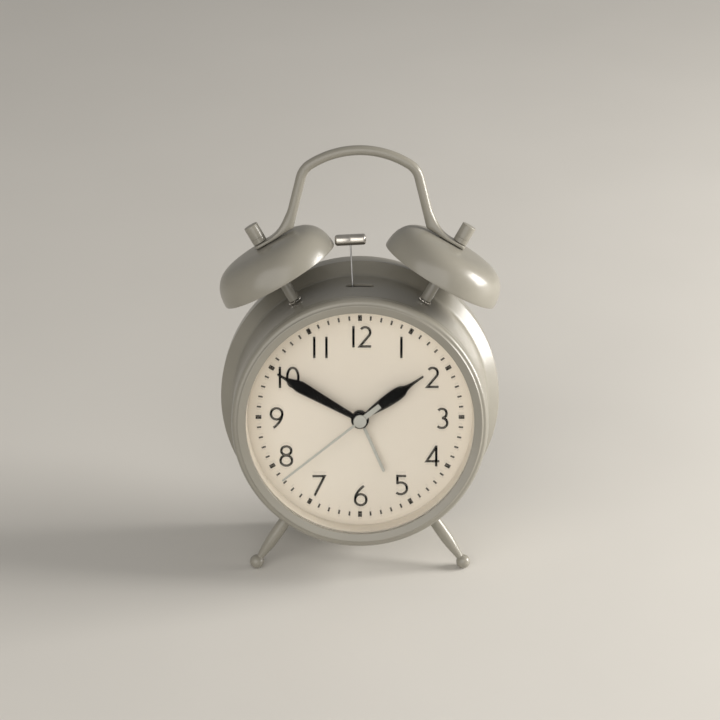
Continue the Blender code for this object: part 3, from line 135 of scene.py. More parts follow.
def make_camera():
    """Long lens in front of the clock and above it."""
    pitch = radians(14.03)  # between the view and the dial's own axis
    target, distance = Vector((0, 0, 24.28 * MM)), 1.060
    forward = Vector((0, cos(pitch), -sin(pitch)))
    up = Vector((0, sin(pitch), cos(pitch)))
    data = bpy.data.cameras.new("camera")
    data.lens, data.sensor_width = 128.85, 36.0
    data.clip_start, data.clip_end = 0.05, 50.0
    camera = bpy.data.objects.new("camera", data)
    bpy.context.scene.collection.objects.link(camera)
    turn = Matrix((Vector((1, 0, 0)), up, -forward)).transposed().to_4x4()
    camera.matrix_world = CLOCK @ Matrix.Translation(target - forward * distance) @ turn
    bpy.context.scene.camera = camera


make_camera()


# ---------------- materials


SHADER_INPUTS = {
    "color": "Base Color",
    "rough": "Roughness",
    "metal": "Metallic",
    "normal": "Normal",
    "coat": "Coat Weight",
    "coat_rough": "Coat Roughness",
    "alpha": "Alpha",
    "ior": "IOR",
    "specular": "Specular IOR Level",
}


class Nodes:
    """Short names for building one material's node tree."""

    def __init__(self, name):
        self.material = bpy.data.materials.new(name)
        self.material.use_nodes = True
        self.tree = self.material.node_tree
        self.shader = self.tree.nodes["Principled BSDF"]
        self.place = self.add("ShaderNodeTexCoord").outputs["Object"]

    def feed(self, socket, value):
        """Sets an input, or links it to another node's output."""
        if isinstance(value, bpy.types.NodeSocket):
            self.tree.links.new(value, socket)
        else:
            socket.default_value = value

    def add(self, kind, inputs=(), **settings):
        node = self.tree.nodes.new(kind)
        for key, value in settings.items():
            setattr(node, key, value)
        for key, value in dict(inputs).items():
            self.feed(node.inputs[key], value)
        return node

    def noise(self, scale, detail=3.0, stretch=None):
        """Noise of a given number of cells per metre, with an optional stretch per axis."""
        place = self.place
        if stretch:
            place = self.add("ShaderNodeMapping", {"Scale": stretch, "Vector": place}).outputs["Vector"]
        inputs = {"Scale": scale, "Detail": detail, "Roughness": 0.55, "Vector": place}
        return self.add("ShaderNodeTexNoise", inputs).outputs["Fac"]

    def spread(self, source, low, high):
        """Maps the middle part of a 0 to 1 value onto a range."""
        inputs = {"Value": source, "From Min": 0.3, "From Max": 0.7, "To Min": low, "To Max": high}
        return self.add("ShaderNodeMapRange", inputs).outputs["Result"]

    def blend(self, source, first, second, start=0.3, end=0.7):
        """Colour ramp between two colours."""
        ramp = self.add("ShaderNodeValToRGB", {"Fac": source})
        stops = ramp.color_ramp.elements
        for stop, color, at in ((stops[0], first, start), (stops[1], second, end)):
            stop.position, stop.color = at, (*color, 1)
        return ramp.outputs["Color"]

    def bump(self, source, distance, strength=1.0, onto=None):
        """Surface relief of a given height in metres, on top of another relief or alone."""
        inputs = {"Distance": distance, "Strength": strength, "Height": source}
        if onto:
            inputs["Normal"] = onto
        return self.add("ShaderNodeBump", inputs).outputs["Normal"]

    def set(self, **values):
        """Feeds the shader, and shows a plain colour in the viewport too."""
        for key, value in values.items():
            if isinstance(value, tuple):
                value = (*value, 1)
                self.material.diffuse_color = value
            self.feed(self.shader.inputs[SHADER_INPUTS[key]], value)
        return self.material


def mixed(color, share):
    """The colour made lighter (share above 1) or darker (below 1)."""
    return tuple(min(c * share, 1.0) for c in color)


def painted(name, color, rough, variation=0.05, texture=0.0015, coat=0.0):
    """Sprayed lacquer: faint cloudiness, a fine orange-peel skin and slightly uneven gloss."""
    n = Nodes(name)
    cloud = n.blend(n.noise(38), mixed(color, 1 - variation), mixed(color, 1 + variation))
    gloss = n.spread(n.noise(45), rough - 0.01, rough + 0.015)
    peel = n.bump(n.noise(1500, 2), texture * MM, 0.9)
    waves = n.bump(n.noise(300, 1), texture * 2.5 * MM, 0.5, peel)
    return n.set(color=cloud, rough=gloss, normal=waves, coat=coat, coat_rough=0.12)


def printed(name, color, rough):
    """Ink or enamel with a slightly uneven film."""
    n = Nodes(name)
    tone = n.blend(n.noise(900, 4), mixed(color, 0.85), mixed(color, 1.2))
    return n.set(color=tone, rough=n.spread(n.noise(120), rough - 0.03, rough + 0.03), specular=0.05)


def plastic(name, color, rough, grain=0.02):
    """Moulded plastic with a spark-eroded grain."""
    n = Nodes(name)
    tone = n.blend(n.noise(60), mixed(color, 0.94), mixed(color, 1.06))
    skin = n.bump(n.noise(2600, 4), grain * MM, 0.8)
    return n.set(color=tone, rough=n.spread(n.noise(700), rough - 0.05, rough + 0.06), normal=skin)


def metal(name, color, rough):
    """Bare or plated metal with fine polishing lines and smudges."""
    n = Nodes(name)
    tone = n.blend(n.noise(120), mixed(color, 0.93), mixed(color, 1.05))
    scratches = n.noise(2400, 3, stretch=(1, 1, 0.06))
    smudge = n.spread(n.noise(260), rough - 0.05, rough + 0.08)
    return n.set(color=tone, metal=1.0, rough=smudge, normal=n.bump(scratches, 0.002 * MM, 0.7))


def cream_dial():
    """Matt enamel sprayed on sheet metal, a little warmer in broad patches."""
    n = Nodes("cream_dial")
    tone = n.blend(n.noise(18, 2), (0.765, 0.7, 0.6), (0.79, 0.73, 0.63))
    skin = n.bump(n.noise(3200, 3), 0.003 * MM, 0.8)
    return n.set(color=tone, rough=n.spread(n.noise(900), 0.55, 0.68), normal=skin)


def winding(name, axis):
    """Enamelled copper wire, wound in close turns along an axis."""
    n = Nodes(name)
    inputs = {"Scale": 1400, "Distortion": 0.4, "Vector": n.place}
    wave = n.add("ShaderNodeTexWave", inputs, wave_type="BANDS", bands_direction=axis)
    tone = n.blend(wave.outputs["Fac"], (0.22, 0.07, 0.02), (0.72, 0.3, 0.11), 0.1, 0.8)
    turns = n.bump(wave.outputs["Fac"], 0.04 * MM)
    return n.set(color=tone, metal=0.85, rough=0.3, normal=turns)


def sleeve():
    """Printed foil sleeve of a cell, with a plain band at one end."""
    n = Nodes("cell_sleeve")
    apart = n.add("ShaderNodeSeparateXYZ", {"Vector": n.place})
    band = n.blend(apart.outputs["X"], (0.04, 0.09, 0.2), (0.5, 0.36, 0.12), 0.009, 0.0092)
    return n.set(color=band, rough=n.spread(n.noise(300), 0.22, 0.32), coat=0.4, coat_rough=0.1)


def board():
    """Green solder mask with copper tracks just showing through."""
    n = Nodes("circuit_board")
    inputs = {"Scale": 260, "Mortar Size": 0.03, "Vector": n.place, "Mortar": (0.08, 0.3, 0.12, 1)}
    inputs |= {"Color1": (0.02, 0.16, 0.06, 1), "Color2": (0.025, 0.19, 0.07, 1)}
    bricks = n.add("ShaderNodeTexBrick", inputs)
    return n.set(color=bricks.outputs["Color"], rough=n.spread(n.noise(500), 0.3, 0.42))


def glass():
    """Clear pane: almost all light goes straight through, and its skin still shines."""
    n = Nodes("clear_lens")
    n.shader.inputs["Transmission Weight"].default_value = 1.0
    haze = n.spread(n.noise(90, 2), 0.005, 0.02)
    return n.set(color=(0.96, 0.97, 0.96), rough=haze, alpha=0.08, ior=1.49)


PAINT = painted("grey_paint", (0.262, 0.247, 0.207), 0.29, coat=0.15)
CREAM = cream_dial()
BLACK = printed("black_paint", (0.004, 0.004, 0.004), 0.5)
INK = printed("dial_ink", (0.004, 0.004, 0.004), 0.6)
HAND_GREY = painted("hand_grey", (0.42, 0.42, 0.38), 0.4, 0.03, 0.002)
CLEAR = glass()
NICKEL = metal("nickel", (0.66, 0.63, 0.58), 0.16)
SATIN_NICKEL = metal("satin_nickel", (0.62, 0.59, 0.54), 0.32)
STEEL = metal("steel", (0.5, 0.5, 0.5), 0.32)
COPPER_X = winding("motor_winding", "X")
COPPER_Y = winding("striker_winding", "Y")
WHITE_PLASTIC = plastic("white_plastic", (0.72, 0.71, 0.66), 0.42)
BLACK_PLASTIC = plastic("black_plastic", (0.022, 0.022, 0.022), 0.45)
GREY_PLASTIC = plastic("grey_plastic", (0.2, 0.19, 0.165), 0.5)
BOARD = board()
MAGNET = metal("magnet", (0.16, 0.16, 0.17), 0.4)
CELL = sleeve()
RED_WIRE = plastic("red_insulation", (0.5, 0.02, 0.02), 0.4, 0.004)
BLACK_WIRE = plastic("black_insulation", (0.02, 0.02, 0.02), 0.4, 0.004)


# ---------------- solids


def circle(radius, steps=32, centre=(0, 0)):
    """Points clockwise from the top, as x to the right and z up."""
    turns = [tau * k / steps for k in range(steps)]
    return [(centre[0] + radius * sin(a), centre[1] + radius * cos(a)) for a in turns]


def polar(radius_at, steps):
    """Closed outline whose radius depends on the angle."""
    turns = [tau * k / steps for k in range(steps)]
    return [(radius_at(a) * sin(a), radius_at(a) * cos(a)) for a in turns]


def rectangle(left, right, bottom, top, corner=0.0):
    """Rectangle with optional rounded corners."""
    if not corner:
        return [(left, bottom), (left, top), (right, top), (right, bottom)]
    points = []
    spots = ((left + corner, bottom + corner, pi), (left + corner, top - corner, 1.5 * pi))
    spots += ((right - corner, top - corner, 0), (right - corner, bottom + corner, 0.5 * pi))
    for x, z, start in spots:
        for k in range(5):
            angle = start + pi / 2 * k / 4
            points.append((x + corner * sin(angle), z + corner * cos(angle)))
    return points


def is_inside(point, outline):
    """Whether a point lies inside a closed outline."""
    x, z = point
    crossed = False
    for (x0, z0), (x1, z1) in zip(outline, outline[1:] + outline[:1]):
        if (z0 > z) != (z1 > z) and x < x0 + (z - z0) * (x1 - x0) / (z1 - z0):
            crossed = not crossed
    return crossed


def fill(shape, loops):
    """Flat faces between closed loops of vertices."""
    edges = []
    for verts in loops:
        for a, b in zip(verts, verts[1:] + verts[:1]):
            edges.append(shape.edges.get((a, b)) or shape.edges.new((a, b)))
    bmesh.ops.triangle_fill(shape, use_beauty=True, use_dissolve=False, edges=edges)


def stack(layers):
    """Closed solid from layers (start, end, outline, holes), one behind the other along Y."""
    shape = bmesh.new()
    depths = [layers[0][0]] + [layer[1] for layer in layers]
    loops = [{} for _ in depths]

    def loop_at(level, outline):
        made = loops[level].get(id(outline))
        if made is None:
            made = [shape.verts.new((x, depths[level], z)) for x, z in outline]
            loops[level][id(outline)] = made
        return made

    for i, (_, _, outline, holes) in enumerate(layers):
        for ring in (outline, *holes):
            near, far = loop_at(i, ring), loop_at(i + 1, ring)
            for k in range(len(near)):
                shape.faces.new((near[k - 1], near[k], far[k], far[k - 1]))
    first, last = layers[0], layers[-1]
    fill(shape, [loop_at(0, ring) for ring in (first[2], *first[3])])
    fill(shape, [loop_at(len(layers), ring) for ring in (last[2], *last[3])])
    for i in range(1, len(layers)):
        before, after = layers[i - 1], layers[i]
        shared = [h for h in before[3] if any(h is o for o in after[3])]
        inner = [h for h in (*before[3], *after[3]) if not any(h is s for s in shared)]
        if before[2] is not after[2]:
            small = min((before[2], after[2]), key=lambda ring: max(hypot(*p) for p in ring))
            outer = [hole for hole in inner if not is_inside(hole[0], small)]
            inner = [hole for hole in inner if is_inside(hole[0], small)]
            fill(shape, [loop_at(i, ring) for ring in (before[2], after[2], *outer)])
        if inner:
            fill(shape, [loop_at(i, ring) for ring in inner])
    return shape


def turned(profile, steps=64, closed=False, along="Y"):
    """Solid of revolution round Y or Z, from points (radius, position along the axis)."""
    shape = bmesh.new()
    verts = [shape.verts.new((r, 0, h)) for r, h in profile]
    pairs = zip(verts, verts[1:] + (verts[:1] if closed else []))
    edges = [shape.edges.new(pair) for pair in pairs]
    bmesh.ops.spin(
        shape, geom=verts + edges, cent=(0, 0, 0), axis=(0, 0, 1), angle=tau, steps=steps, use_merge=True
    )
    bmesh.ops.remove_doubles(shape, verts=shape.verts, dist=1e-7)
    if along == "Y":
        shape.transform(Matrix(((0, 1, 0, 0), (0, 0, 1, 0), (1, 0, 0, 0), (0, 0, 0, 1))))
    return shape


def arc(centre, radius, start, end, steps=8):
    """Points of an arc in (radius, depth); angles in degrees from the outward direction."""
    angles = [radians(start + (end - start) * k / steps) for k in range(steps + 1)]
    return [(centre[0] + radius * cos(a), centre[1] + radius * sin(a)) for a in angles]


def smoothed(points, per_span=6):
    """Points of a smooth curve (Catmull-Rom) through the given points."""
    made = []
    ends = [2 * points[0] - points[1]] + points + [2 * points[-1] - points[-2]]
    for a, b, c, d in zip(ends, ends[1:], ends[2:], ends[3:]):
        for k in range(per_span):
            t = k / per_span
            made.append(
                0.5 * (2 * b + (c - a) * t + (2 * a - 5 * b + 4 * c - d) * t * t + (3 * b - a - 3 * c + d) * t**3)
            )
    return made + [points[-1]]


def curve2(points, per_span=6):
    """Smooth curve through points in a plane."""
    return [(p.x, p.y) for p in smoothed([Vector(p) for p in points], per_span)]


def powered(value, power):
    """A value from -1 to 1 raised to a power, with its sign kept."""
    return abs(value) ** power * (1 if value > 0 else -1)


def swept(path, sections, sides=24):
    """Rod along a path: sections are (half width across Y, depth outside, depth inside, squareness)."""
    shape = bmesh.new()
    rings = []
    for k, point in enumerate(path):
        along = (path[min(k + 1, len(path) - 1)] - path[max(k - 1, 0)]).normalized()
        width = Vector((1, 0, 0)) if abs(along.y) > 0.7 else Vector((0, 1, 0))
        thick = along.cross(width).normalized()
        width = thick.cross(along).normalized()
        half_width, outer, inner, squareness = sections[k]
        ring = []
        for j in range(sides):
            a = tau * (j + 0.5) / sides
            u = abs(cos(a)) ** squareness * (1 if cos(a) > 0 else -1)
            v = abs(sin(a)) ** squareness * (outer if sin(a) > 0 else -inner)
            ring.append(shape.verts.new(point + width * half_width * u + thick * v))
        rings.append(ring)
    for ring, following in zip(rings, rings[1:]):
        for j in range(sides):
            shape.faces.new((ring[j - 1], ring[j], following[j], following[j - 1]))
    shape.faces.new(rings[0])
    shape.faces.new(rings[-1])
    return shape


def radial(angle):
    """Turn that takes local Z to the direction at an angle from the clock's upright axis."""
    return Matrix.Rotation(angle, 3, "Y")


# ---------------- pieces


def plain_object(name, shape, at=(0, 0, 0), turn=None):
    """A mesh object in the clock's frame, with no material yet."""
    bmesh.ops.remove_doubles(shape, verts=shape.verts, dist=1e-7)
    bmesh.ops.recalc_face_normals(shape, faces=shape.faces)
    mesh = bpy.data.meshes.new(name)
    shape.to_mesh(mesh)
    shape.free()
    obj = bpy.data.objects.new(name, mesh)
    bpy.context.scene.collection.objects.link(obj)
    obj.matrix_world = CLOCK @ Matrix.Translation(at) @ (turn or Matrix.Identity(3)).to_4x4()
    return obj


def drill(radius, start, end, at, turn, steps=24):
    """Round cutting tool along a turned Z axis."""
    shape = turned([(0, start), (radius, start), (radius, end), (0, end)], steps, along="Z")
    return plain_object("hole_tool", shape, at, turn)


def cut(obj, tools, operation="DIFFERENCE"):
    """Cuts the tools away from the object (or joins them to it) for good, and removes them."""
    for tool in tools:
        step = obj.modifiers.new("cut", "BOOLEAN")
        step.object, step.operation, step.solver = tool, operation, "EXACT"
    bpy.context.view_layer.update()
    depsgraph = bpy.context.evaluated_depsgraph_get()
    finished = bpy.data.meshes.new_from_object(obj.evaluated_get(depsgraph))
    obj.modifiers.clear()
    old, obj.data = obj.data, finished
    bpy.data.meshes.remove(old)
    for tool in tools:
        bpy.data.objects.remove(tool, do_unlink=True)


def finish_piece(obj, material, body, nodes=(), edge=0.0, segments=2):
    """Material, eased edges, shading, body and the CAD nodes that the piece stands for."""
    obj.data.materials.clear()
    obj.data.materials.append(material)
    obj.data.shade_smooth()
    obj.data.set_sharp_from_angle(angle=SMOOTH_ANGLE)
    if edge:
        bevel = obj.modifiers.new("eased edges", "BEVEL")
        bevel.width, bevel.segments = edge, segments
        bevel.limit_method, bevel.angle_limit = "ANGLE", SMOOTH_ANGLE
        bevel.harden_normals = True
        bevel.use_clamp_overlap = True
    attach(obj, body)
    if nodes:
        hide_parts(*nodes)
    return obj


def piece(name, shape, material, body, slot, nodes=None, at=(0, 0, 0), turn=None, edge=0.0, segments=2):
    """One finished piece that stands for the CAD node of the same name, unless told otherwise."""
    obj = plain_object(name, shape, at, turn)
    nodes = (name.removesuffix("_fine"),) if nodes is None else nodes
    return finish_piece(obj, material, body, nodes, edge, segments)


def case_profile():
    """Closed section of the shell: along the outside to the rear edge, and back inside."""
    outside = arc((CASE_FRONT_R - 0.5 * MM, CASE_FRONT_Y + 0.5 * MM), 0.5 * MM, -100, -4, 6)
    body = [(CASE_FRONT_R + 0.05 * MM, -5.0 * MM), (53.0 * MM, 2.0 * MM), (CASE_WAIST_R, BELL_Y)]
    outside += curve2(body + [(53.5 * MM, 19.0 * MM), (CASE_BODY_R, CASE_BODY_Y)], 5)
    cove, cove_end = (CASE_BODY_R + COVE_R, CASE_BODY_Y), 180 - COVE_TURN
    outside += arc(cove, COVE_R, 175, cove_end, 9)
    outside += arc((BAND_R - 0.6 * MM, BAND_Y + 0.26 * MM), 0.6 * MM, -46, 0, 5)
    outside += [(BAND_R, 38.0 * MM)]
    rear = (BAND_R - REAR_ROUND, REAR_Y - REAR_ROUND)
    outside += arc(rear, REAR_ROUND, 0, 90, 8)
    inside = [(rear[0] - 0.6 * WALL, REAR_Y - 0.6 * WALL), (BAND_R - WALL, rear[1])]
    inside += [(BAND_R - WALL, BAND_Y + 0.4 * WALL)]
    inside += arc(cove, COVE_R + WALL, cove_end, 180, 6)
    inside += [(CASE_WAIST_R - WALL, BELL_Y), (CASE_FRONT_R - WALL, CASE_FRONT_Y + 0.2 * MM)]
    return outside + inside


def make_case():
    """The shell, with the hammer's slot and the holes for the posts and legs."""
    shell = plain_object("case_shell_fine", turned(case_profile(), TURNS, closed=True))
    half = SLOT_WIDTH / 2 - SLOT_DEPTH / 2
    slot = []
    for centre, start in ((half, 0), (-half, pi)):
        for k in range(13):
            angle = start + pi * k / 12
            slot.append((centre + SLOT_DEPTH / 2 * sin(angle), SLOT_DEPTH / 2 * cos(angle)))
    upright = Matrix(((1, 0, 0), (0, 0, 1), (0, -1, 0)))
    tools = [plain_object("slot_tool", stack([(-60 * MM, -45 * MM, slot, ())]), (0, BELL_Y, 0), upright)]
    for sign in (-1, 1):
        for angle, y in ((BELL_ANGLE * sign, BELL_Y), ((pi - LEG_ANGLE) * sign, LEG_Y)):
            tools.append(drill(STUD_R + GAP, 45 * MM, 60 * MM, (0, y, 0), radial(angle)))
    cut(shell, tools)
    finish_piece(shell, PAINT, "case", ("case_shell",), 0.25 * MM, 3)


def make_bezel():
    """Front ring: a flat face with a raised lip, a rounded shoulder, and a spigot inside the case."""
    spigot_r, spigot_y, back_y = CASE_FRONT_R - WALL - GAP, CASE_FRONT_Y + 4.0 * MM, CASE_FRONT_Y - GAP
    profile = [(BEZEL_INNER_R, LENS_FRONT_Y - GAP)]
    profile += arc((BEZEL_INNER_R + 0.25 * MM, BEZEL_INNER_Y + 0.25 * MM), 0.25 * MM, 180, 260, 5)
    profile += arc((BEZEL_LIP_R, BEZEL_LIP_Y + 0.5 * MM), 0.5 * MM, 255, 320, 8)
    profile += curve2([(50.5 * MM, -12.45 * MM), (50.8 * MM, -12.32 * MM)], 3)
    shoulder = (BEZEL_LIP_R + 1.1 * MM, back_y - 1.0 * MM)
    width, depth = CASE_FRONT_R - shoulder[0], shoulder[1] - (BEZEL_LIP_Y + 0.7 * MM)
    for k in range(1, 15):
        turn = pi / 2 * k / 14
        profile.append((shoulder[0] + width * sin(turn), shoulder[1] - depth * cos(turn)))
    profile += arc((CASE_FRONT_R - 0.5 * MM, back_y - 0.5 * MM), 0.5 * MM, 0, 90, 5)
    profile += [(spigot_r, back_y), (spigot_r, spigot_y), (LENS_R + GAP, spigot_y)]
    profile += [(LENS_R + GAP, LENS_FRONT_Y - GAP)]
    piece("bezel_fine", turned(profile, TURNS, closed=True), PAINT, "case", "grey_paint")


def make_lens():
    """Flat pane with ground edges."""
    edge = 0.15 * MM
    back = LENS_FRONT_Y + LENS_THICK
    profile = [(0, LENS_FRONT_Y), (LENS_R - edge, LENS_FRONT_Y), (LENS_R, LENS_FRONT_Y + edge)]
    profile += [(LENS_R, back - edge), (LENS_R - edge, back), (0, back)]
    piece("lens_fine", turned(profile, 96), CLEAR, "case", "clear_lens")


def make_dial():
    """The dial and the cream wall that stands between it and the lens."""
    front = LENS_FRONT_Y + LENS_THICK + GAP
    outer = LENS_R - 0.4 * MM
    wall = [(BEZEL_INNER_R, front), (outer, front), (outer, -GAP), (DIAL_R + 0.1 * MM, -GAP)]
    wall += arc((DIAL_R + 0.25 * MM, -GAP - 0.2 * MM), 0.25 * MM, 120, 178, 4)
    piece("dial_ring_fine", turned(wall, TURNS, closed=True), CREAM, "case", "cream_dial")
    disc = stack([(0, DIAL_THICK, circle(CASE_FRONT_R - WALL - 0.8 * MM, 120), (circle(CENTRE_HOLE_R, 40),))])
    piece("dial_fine", disc, CREAM, "case", "cream_dial", edge=0.06 * MM)


# ---------------- dial print


def ellipse(centre, across, up, start, end, steps=28):
    """Points along an ellipse; angles in degrees, anticlockwise from the right."""
    angles = [radians(start + (end - start) * k / steps) for k in range(steps + 1)]
    return [(centre[0] + across * cos(a), centre[1] + up * sin(a)) for a in angles]


def bezier(a, b, c, steps=16):
    shares = [k / steps for k in range(steps + 1)]
    return [tuple((1 - t) ** 2 * p + 2 * t * (1 - t) * q + t * t * r for p, q, r in zip(a, b, c)) for t in shares]


# Centre lines of the pen strokes, in millimetres from the middle of each figure, and whether each
# one closes on itself. A closed ring stops a step short of its start.
SIX = [
    (ellipse((0, -1.65), 2.38, 2.38, 0, 351, 39), True),
    (bezier((-2.38, -1.65), (-2.3, 1.5), (1.3, 4.35)), False),
]
ZERO = [(2.3 * powered(x, 0.94), 4.05 * z) for x, z in ellipse((0, 0), 1, 1, 0, 352.5, 47)]
FIGURES = {
    "0": [(ZERO, True)],
    "1": [([(0, -4.5), (0, 4.5)], False)],
    "2": [(ellipse((0, 1.9), 2.1, 2.15, 143, -36) + [(-2.15, -4.05), (2.5, -4.05)], False)],
    "3": [
        (ellipse((-0.35, 2.13), 1.95, 1.95, 140, -90), False),
        (ellipse((-0.35, -1.99), 2.27, 2.1, 90, -140), False),
    ],
    "4": [
        ([(1.55, 4.1), (-2.45, -2.25), (2.85, -2.25)], False),
        ([(1.55, 4.5), (1.55, -4.5)], False),
    ],
    "5": [([(1.8, 3.95), (-1.85, 3.95), (-1.85, 0.9)] + ellipse((-0.45, -1.4), 2.6, 2.55, 118, -134), False)],
    "6": SIX,
    "7": [([(-2.6, 3.98), (2.45, 3.98), (-1.75, -4.5)], False)],
    "8": [
        (ellipse((0, 2.3), 2.1, 1.85, 0, 350, 35), True),
        (ellipse((0, -1.95), 2.4, 2.2, 0, 351, 39), True),
    ],
    "9": [([(-x, -z) for x, z in points], closed) for points, closed in SIX],
}
# Each number's figures with their offsets, and its place as millimetres right and up of the centre
NUMBERS = (
    ((("1", -3.4), ("2", 1.4)), 0.7, 34.1),
    ((("1", 0),), 17.0, 29.6),
    ((("2", 0),), 29.9, 16.9),
    ((("3", 0),), 34.2, -0.6),
    ((("4", 0),), 30.1, -16.8),
    ((("5", 0),), 17.4, -29.4),
    ((("6", 0),), 0.3, -34.1),
    ((("7", 0),), -17.2, -29.5),
    ((("8", 0),), -30.6, -16.8),
    ((("9", 0),), -34.5, -0.3),
    ((("1", -3.8), ("0", 1.5)), -29.2, 16.9),
    ((("1", -2.5), ("1", 2.5)), -16.3, 29.6),
)


def stroke(shape, points, closed, width, front=-PRINT_THICK, back=PRINT_THICK / 2):
    """A pen stroke of even width along a line, as a thin raised solid on the dial."""
    count = len(points)
    rims = []
    for k, point in enumerate(points):
        here = Vector(point)
        before = Vector(points[k - 1]) if closed or k else None
        after = Vector(points[(k + 1) % count]) if closed or k < count - 1 else None
        into = (here - before).normalized() if before is not None else None
        out = (after - here).normalized() if after is not None else None
        into, out = into or out, out or into
        normal = Vector((-(into + out).y, (into + out).x)).normalized()
        reach = width / 2 / max(normal.dot(Vector((-into.y, into.x))), 0.3)
        rims.append((here + normal * reach, here - normal * reach))
    rings = []
    for left, right in rims:
        corners = ((left, front), (right, front), (right, back), (left, back))
        rings.append([shape.verts.new((p.x, y, p.y)) for p, y in corners])
    last = count if closed else count - 1
    for k in range(last):
        a, b = rings[k], rings[(k + 1) % count]
        for j in range(4):
            shape.faces.new((a[j - 1], a[j], b[j], b[j - 1]))
    if not closed:
        shape.faces.new(rings[0])
        shape.faces.new(rings[-1])


def make_print():
    """The numbers and the sixty marks, printed on the dial."""
    numbers = bmesh.new()
    for figures, x, z in NUMBERS:
        for figure, shift in figures:
            for points, closed in FIGURES[figure]:
                placed = [((x + shift + px) * MM, (z + pz) * MM) for px, pz in points]
                stroke(numbers, placed, closed, STROKE)
    piece("dial_numbers", numbers, INK, "case", "black_paint", nodes=())
    marks = bmesh.new()
    for k in range(60):
        width, length = MINUTE_MARK if k % 5 else HOUR_MARK
        angle = tau * k / 60
        reaches = (TRACK_R - length / 2, TRACK_R + length / 2)
        stroke(marks, [(at * sin(angle), at * cos(angle)) for at in reaches], False, width)
    piece("dial_track", marks, INK, "case", "black_paint", nodes=())


# ---------------- bells, posts, handle and legs


def bell_radius(height):
    """Outer radius of the bell at a height above its rim: a steep wall that rounds to the crown."""
    return BELL_R * (1 - min(height / BELL_HEIGHT, 1.0) ** 2.2) ** 0.2


def bell_profile():
    """Closed section of the bell with a rounded rim."""
    hole = STUD_R + GAP
    steps = 30
    heights = [BELL_HEIGHT * sin(pi / 2 * k / steps) for k in range(steps)]
    outside = [(bell_radius(h), h) for h in heights]
    inner_height = BELL_HEIGHT - BELL_WALL
    shrink = (BELL_R - BELL_WALL) / BELL_R
    inside = [(r * shrink, h * inner_height / BELL_HEIGHT) for r, h in outside]
    rim = 0.35 * MM
    outside[0] = (BELL_R - rim * 0.3, 0.1 * MM)
    inside[0] = (BELL_R * shrink + rim * 0.3, 0.1 * MM)
    lip = [(BELL_R * shrink + rim, 0), (BELL_R - rim, 0)]
    return lip + outside + [(hole, BELL_HEIGHT), (hole, inner_height)] + inside[::-1]


def make_bells():
    """Both bells with their posts, nuts and washers."""
    top = BELL_RIM_AT + BELL_HEIGHT
    nut_base = top + TAB_THICK + 2 * GAP
    stud_top, shoulder = nut_base + NUT_THREAD, top - BELL_WALL - GAP
    foot, ease = WASHER_AT + WASHER_THICK + GAP, 0.2 * MM
    bell = [(r, BELL_RIM_AT + h) for r, h in bell_profile()]
    post = [(0, STUD_END), (STUD_R - ease, STUD_END), (STUD_R, STUD_END + ease), (STUD_R, foot)]
    post += [(POST_R - ease, foot), (POST_R, foot + ease), (POST_R, shoulder - ease)]
    post += [(POST_R - ease, shoulder), (STUD_R, shoulder), (STUD_R, stud_top - ease)]
    post += [(STUD_R - ease, stud_top), (0, stud_top)]
    for side, sign in (("left", -1), ("right", 1)):
        place = {"at": (0, BELL_Y, 0), "turn": radial(BELL_ANGLE * sign)}
        shapes = (
            ("bell", turned(bell, 112, closed=True, along="Z")),
            ("bell_post", turned(post, 40, along="Z")),
            ("bell_nut", turned(nut_profile(nut_base, stud_top), 56, closed=True, along="Z")),
        )
        for name, shape in shapes:
            piece(f"{side}_{name}_fine", shape, PAINT, "case", "grey_paint", **place)
        make_washer(f"{side}_post_washer_fine", place)
        make_inner_nut(f"{side}_post_inner_nut", place)


def nut_profile(base, stud_end):
    """Long plain nut: a fine turned seam near its foot, and a slightly domed top."""
    bore, top, ease = STUD_R + 0.1 * MM, base + NUT_LENGTH, 0.35 * MM
    seam = base + 2.1 * MM
    nut = [(bore, base), (NUT_R - 0.12 * MM, base), (NUT_R, base + 0.12 * MM), (NUT_R, seam - 0.1 * MM)]
    nut += [(NUT_R - 0.15 * MM, seam), (NUT_R, seam + 0.1 * MM)]
    nut += arc((NUT_R - ease, top - ease), ease, 0, 80, 6)
    nut += [(NUT_R * 0.5, top + 0.06 * MM), (0, top + 0.1 * MM), (0, stud_end + GAP), (bore, stud_end + GAP)]
    return nut


def make_washer(name, place):
    """Plated washer with gripping teeth that turn up at its edge."""
    teeth = polar(lambda a: (2.6 + 0.6 * max(0.0, cos(6 * a)) ** 3) * MM, 72)
    shape = stack([(WASHER_AT, WASHER_AT + WASHER_THICK, teeth, (circle(STUD_R + GAP, 24),))])
    shape.transform(Matrix(((1, 0, 0), (0, 0, 1), (0, 1, 0))).to_4x4())
    for vert in shape.verts:
        reach = hypot(vert.co.x, vert.co.y)
        vert.co.z += max(0.0, reach - 2.7 * MM) * 0.8
    piece(name, shape, NICKEL, "case", "nickel", edge=0.08 * MM, **place)


def make_inner_nut(name, place):
    """Hexagonal nut that holds a post or leg from inside the case."""
    hexagon = circle(2.5 * MM, 6)
    shape = stack([(50.3 * MM, 51.9 * MM, hexagon, (circle(STUD_R + 0.05 * MM, 24),))])
    shape.transform(Matrix(((1, 0, 0), (0, 0, 1), (0, 1, 0))).to_4x4())
    piece(name, shape, STEEL, "case", "steel", nodes=(), edge=0.12 * MM, **place)


